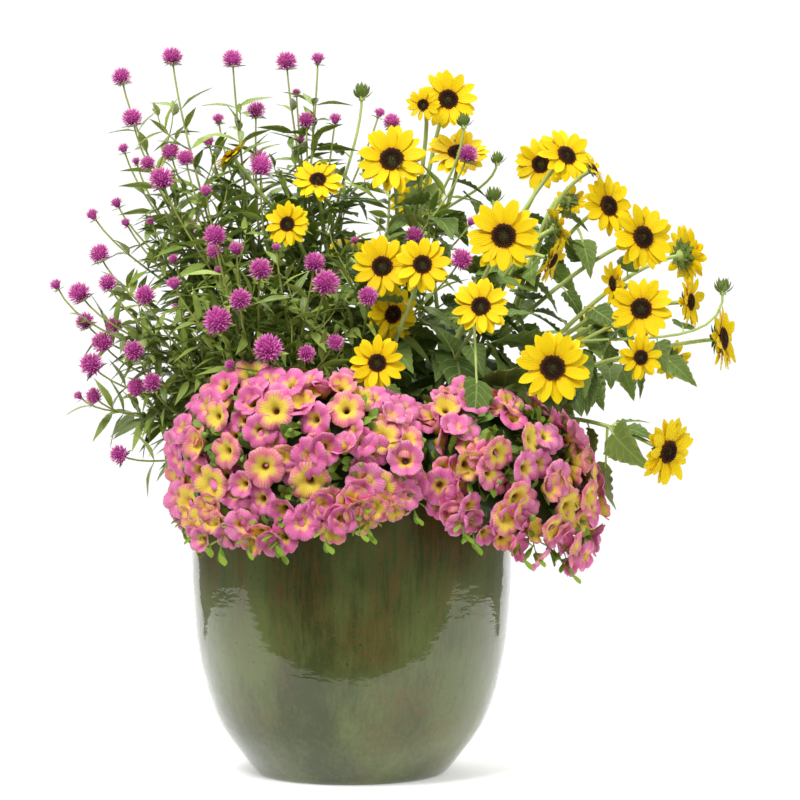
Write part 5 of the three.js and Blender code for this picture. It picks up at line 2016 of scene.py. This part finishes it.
    def _leaves(self, leaves: Places, centres: np.ndarray, draw: Draw) -> None:
        """Adds leaves between the flowers, clear of their throats.

        Args:
            leaves: takes the leaves.
            centres: the flowers' middles.
            draw: gives random numbers.
        """
        start, end = self.keys[0][0], self.keys[-1][0]
        for _ in range(int((end - start) * LEAVES_PER_DEGREE)):
            share = draw() ** 0.8
            around = start + (end - start) * draw()
            point, normal, _, _ = self.surface(around, min(1.0, share * 1.02), 18 - 9 * draw())
            heading = unit(normal * (0.5 + 0.6 * draw()) + side_of(normal, draw() * 6.3) * 0.6)
            length = 17 + 8 * draw()
            if np.linalg.norm(centres - point - heading * length * 0.8, axis=1).min() > LEAF_CLEARANCE:
                leaves.add(point, heading, normal, length, draw())

    def _ends(self, leaves: Places, draw: Draw) -> None:
        """Covers both ends of the core with leaves.

        Args:
            leaves: takes the leaves.
            draw: gives random numbers.
        """
        for around, way in ((self.keys[0][0], -1.0), (self.keys[-1][0], 1.0)):
            angle = math.radians(around)
            along = vec(math.cos(angle), math.sin(angle), 0) * way
            for _ in range(END_LEAVES):
                inset = CORE_INSET + 46 * draw()
                point, normal, reach, _ = self.surface(around, 0.9 * draw(), inset)
                heading = unit(along * (0.25 + 0.5 * draw()) + side_of(along, draw() * 6.3) - UP * 0.3)
                if reach > POT_RADIUS + WALL_STAND_OFF - 2 or point[2] > POT_HEIGHT:
                    face = unit(along + normal * 0.3)
                    leaves.add(point - along * 2, heading, face, 20 + 8 * draw(), draw())

    def _trails(self, lines: Lines, leaves: Places, draw: Draw) -> None:
        """Adds short leafy shoots that hang below the flowers.

        Args:
            lines: takes their stems.
            leaves: takes their leaves.
            draw: gives random numbers.
        """
        start = self.keys[0][0]
        shoots = int((self.fringe - start) / SHOOT_STEP)
        for i in range(shoots):
            around = start + (self.fringe - start) * (i + draw()) / shoots
            foot = self.surface(around, 0.88, CORE_INSET)[0]
            edge, normal, _, _ = self.surface(around, 1.0, 10)
            tip = edge + normal * (6 + 14 * draw()) - UP * (16 + 16 * draw())
            spine = Curve((foot, edge + normal * 6, tip + UP * 8, tip)).spaced(6)
            lines.add(spine, 0.9, 0.5)
            for k in range(6):
                point, tangent = on_spine(spine, 0.35 + 0.12 * k)
                heading = unit(side_of(tangent, k * 2.4) + tangent * 0.7)
                leaves.add(point, heading, leaf_up(heading), 15 + 7 * draw(), 0.5 + 0.5 * draw())


@dataclass
class Planting:
    """Every plant of the pot, routed in the same order as the solids."""

    routing: Routing = field(default_factory=Routing)
    sprays: list[AmaranthSpray] = field(default_factory=list)
    stems: list[SunflowerStem] = field(default_factory=list)
    mounds: list[Mound] = field(default_factory=list)

    def plan(self) -> None:
        """Lays out the plants and routes their stems and stalks."""
        self.sprays = [AmaranthSpray(name, **facts) for name, facts in AMARANTH_SPRAYS.items()]
        self.stems = [SunflowerStem(name, **facts) for name, facts in SUNFLOWER_STEMS.items()]
        self.mounds = [Mound(name, **facts) for name, facts in MOUNDS.items()]
        self._claim_flowers()
        for plants, girth in ((self.stems, STEM_GIRTH["sunflower"]), (self.sprays, STEM_GIRTH["amaranth"])):
            for plant in plants:
                plant.stem = self.routing.stem(plant.owner, plant.root, plant.fork, girth)
        for plant in (*self.stems, *self.sprays):
            plant.route(self.routing)

    def _claim_flowers(self) -> None:
        """Takes the space of every flower and mound before any stalk is routed."""
        for spray in self.sprays:
            for x, y, z, across in spray.heads:
                self.routing.claim(spray.owner, vec(x, y, z), vec(x, y, z), across / 2)
        for stem in self.stems:
            for x, y, z, across in stem.buds:
                self.routing.claim(stem.owner, vec(x, y, z), vec(x, y, z), across / 2)
            for i, (x, y, z, across, turn, tilt) in enumerate(stem.heads):
                facing = facing_of(turn, tilt)
                for k in range(10):
                    tip = vec(x, y, z) + side_of(facing, k * math.pi / 5) * (across / 2 - 3) + facing * 3
                    self.routing.claim(stem.head_name(i), vec(x, y, z), tip, 4)
        for mound in self.mounds:
            for low, high in zip(mound.keys, mound.keys[1:]):
                ends = [vec(math.sin(math.radians(k[0])) * k[1], -math.cos(math.radians(k[0])) * k[1], k[2])
                        for k in (low, high)]
                self.routing.claim(f"calibrachoa_{mound.name}", *ends, min(low[3], high[3]) + 2)

    def build(self, kit: Kit) -> None:
        """Builds every plant in turn."""
        for plant in (*self.mounds, *self.stems, *self.sprays):
            plant.build(kit)


@dataclass
class Studio:
    """The plain floor, the soft light and the camera."""

    def build(self) -> None:
        """Sets up the floor, the light and the camera."""
        self._floor()
        self._world()
        self._light("key_light", (-1.1, -2.3, 3.1), (0.05, 0, 0.45), (1.3, 1.3), 120)
        self._light("fill_light", (2.0, -2.4, 1.8), (0.05, 0, 0.45), (1.4, 1.4), 26)
        self._light("top_light", (0.2, 0.7, 3.2), (0, 0, 0.4), (2.2, 2.2), 60)
        self._light("back_panel", (0.0, 1.55, 0.45), (0.0, 0, 0.45), (3.2, 1.7), 27)
        camera = linked("camera", bpy.data.cameras.new("camera"))
        camera.data.lens = CAMERA_LENS
        camera.data.sensor_width = 36.0
        camera.location = tuple(c * MM for c in CAMERA_PLACE)
        camera.rotation_euler = (math.radians(90), 0, 0)
        bpy.context.scene.camera = camera
        bpy.context.scene.view_settings.view_transform = "Standard"

    def _floor(self) -> None:
        """A plain white table top that ends in front of the pot, where the glaze mirrors the dark."""
        form = Form()
        left, right, front, back = FLOOR_SIDES
        for x, y in ((left, front), (right, front), (right, back), (left, back)):
            form.add(vec(x, y, 0))
        form.faces.append((0, 1, 2, 3))
        floor = form.built("floor", MM)
        s = Shader("floor_paint")
        colour = s.ramp(s.noise(1.5), (0.0, (0.90, 0.90, 0.90)), (1.0, (0.93, 0.93, 0.93)))
        s.main.inputs["Emission Color"].default_value = (1, 1, 1, 1)
        s.main.inputs["Emission Strength"].default_value = 0.34
        floor.data.materials.append(s.dress(colour, 0.8, specular=0.1))

    def _world(self) -> None:
        """A white surround that lights the plants softly and stays dark in the glaze."""
        world = bpy.data.worlds.new("surround")
        world.use_nodes = True
        nodes, links = world.node_tree.nodes, world.node_tree.links
        path = nodes.new("ShaderNodeLightPath")
        seen, strength = nodes.new("ShaderNodeMath"), nodes.new("ShaderNodeMath")
        seen.operation = strength.operation = "MULTIPLY_ADD"
        seen.inputs[1].default_value, seen.inputs[2].default_value = 0.65, 0.4
        strength.inputs[1].default_value = -0.35
        links.new(path.outputs["Is Camera Ray"], seen.inputs[0])
        links.new(path.outputs["Is Glossy Ray"], strength.inputs[0])
        links.new(seen.outputs["Value"], strength.inputs[2])
        links.new(strength.outputs["Value"], nodes["Background"].inputs["Strength"])
        nodes["Background"].inputs["Color"].default_value = (1, 1, 1, 1)
        bpy.context.scene.world = world

    def _light(self, name: str, place: Triple, aim: Triple,
               size: tuple[float, float], power: float) -> None:
        """Adds a soft panel of light that the camera doesn't see.

        Args:
            name: its name.
            place: where it stands, in metres.
            aim: the point it looks at.
            size: its width and height.
            power: its strength in watts.
        """
        data = bpy.data.lights.new(name, "AREA")
        data.shape = "RECTANGLE"
        data.size, data.size_y = size
        data.energy = power
        lamp = linked(name, data)
        lamp.visible_camera = False
        back = unit(np.array(place) - np.array(aim))
        side = unit(np.cross(UP, back))
        turn = Matrix(np.column_stack((side, np.cross(back, side), back)).tolist())
        lamp.matrix_world = Matrix.Translation(place) @ turn.to_4x4()


def main() -> None:
    """Builds the planter and its studio in order."""
    logging.basicConfig(level=logging.INFO, format="%(message)s")
    kit = Kit()
    kit.stock()
    Pot().build(kit)
    Soil().build(kit)
    planting = Planting()
    planting.plan()
    planting.build(kit)
    kit.clear()
    Studio().build()


if __name__ == "__main__":
    main()
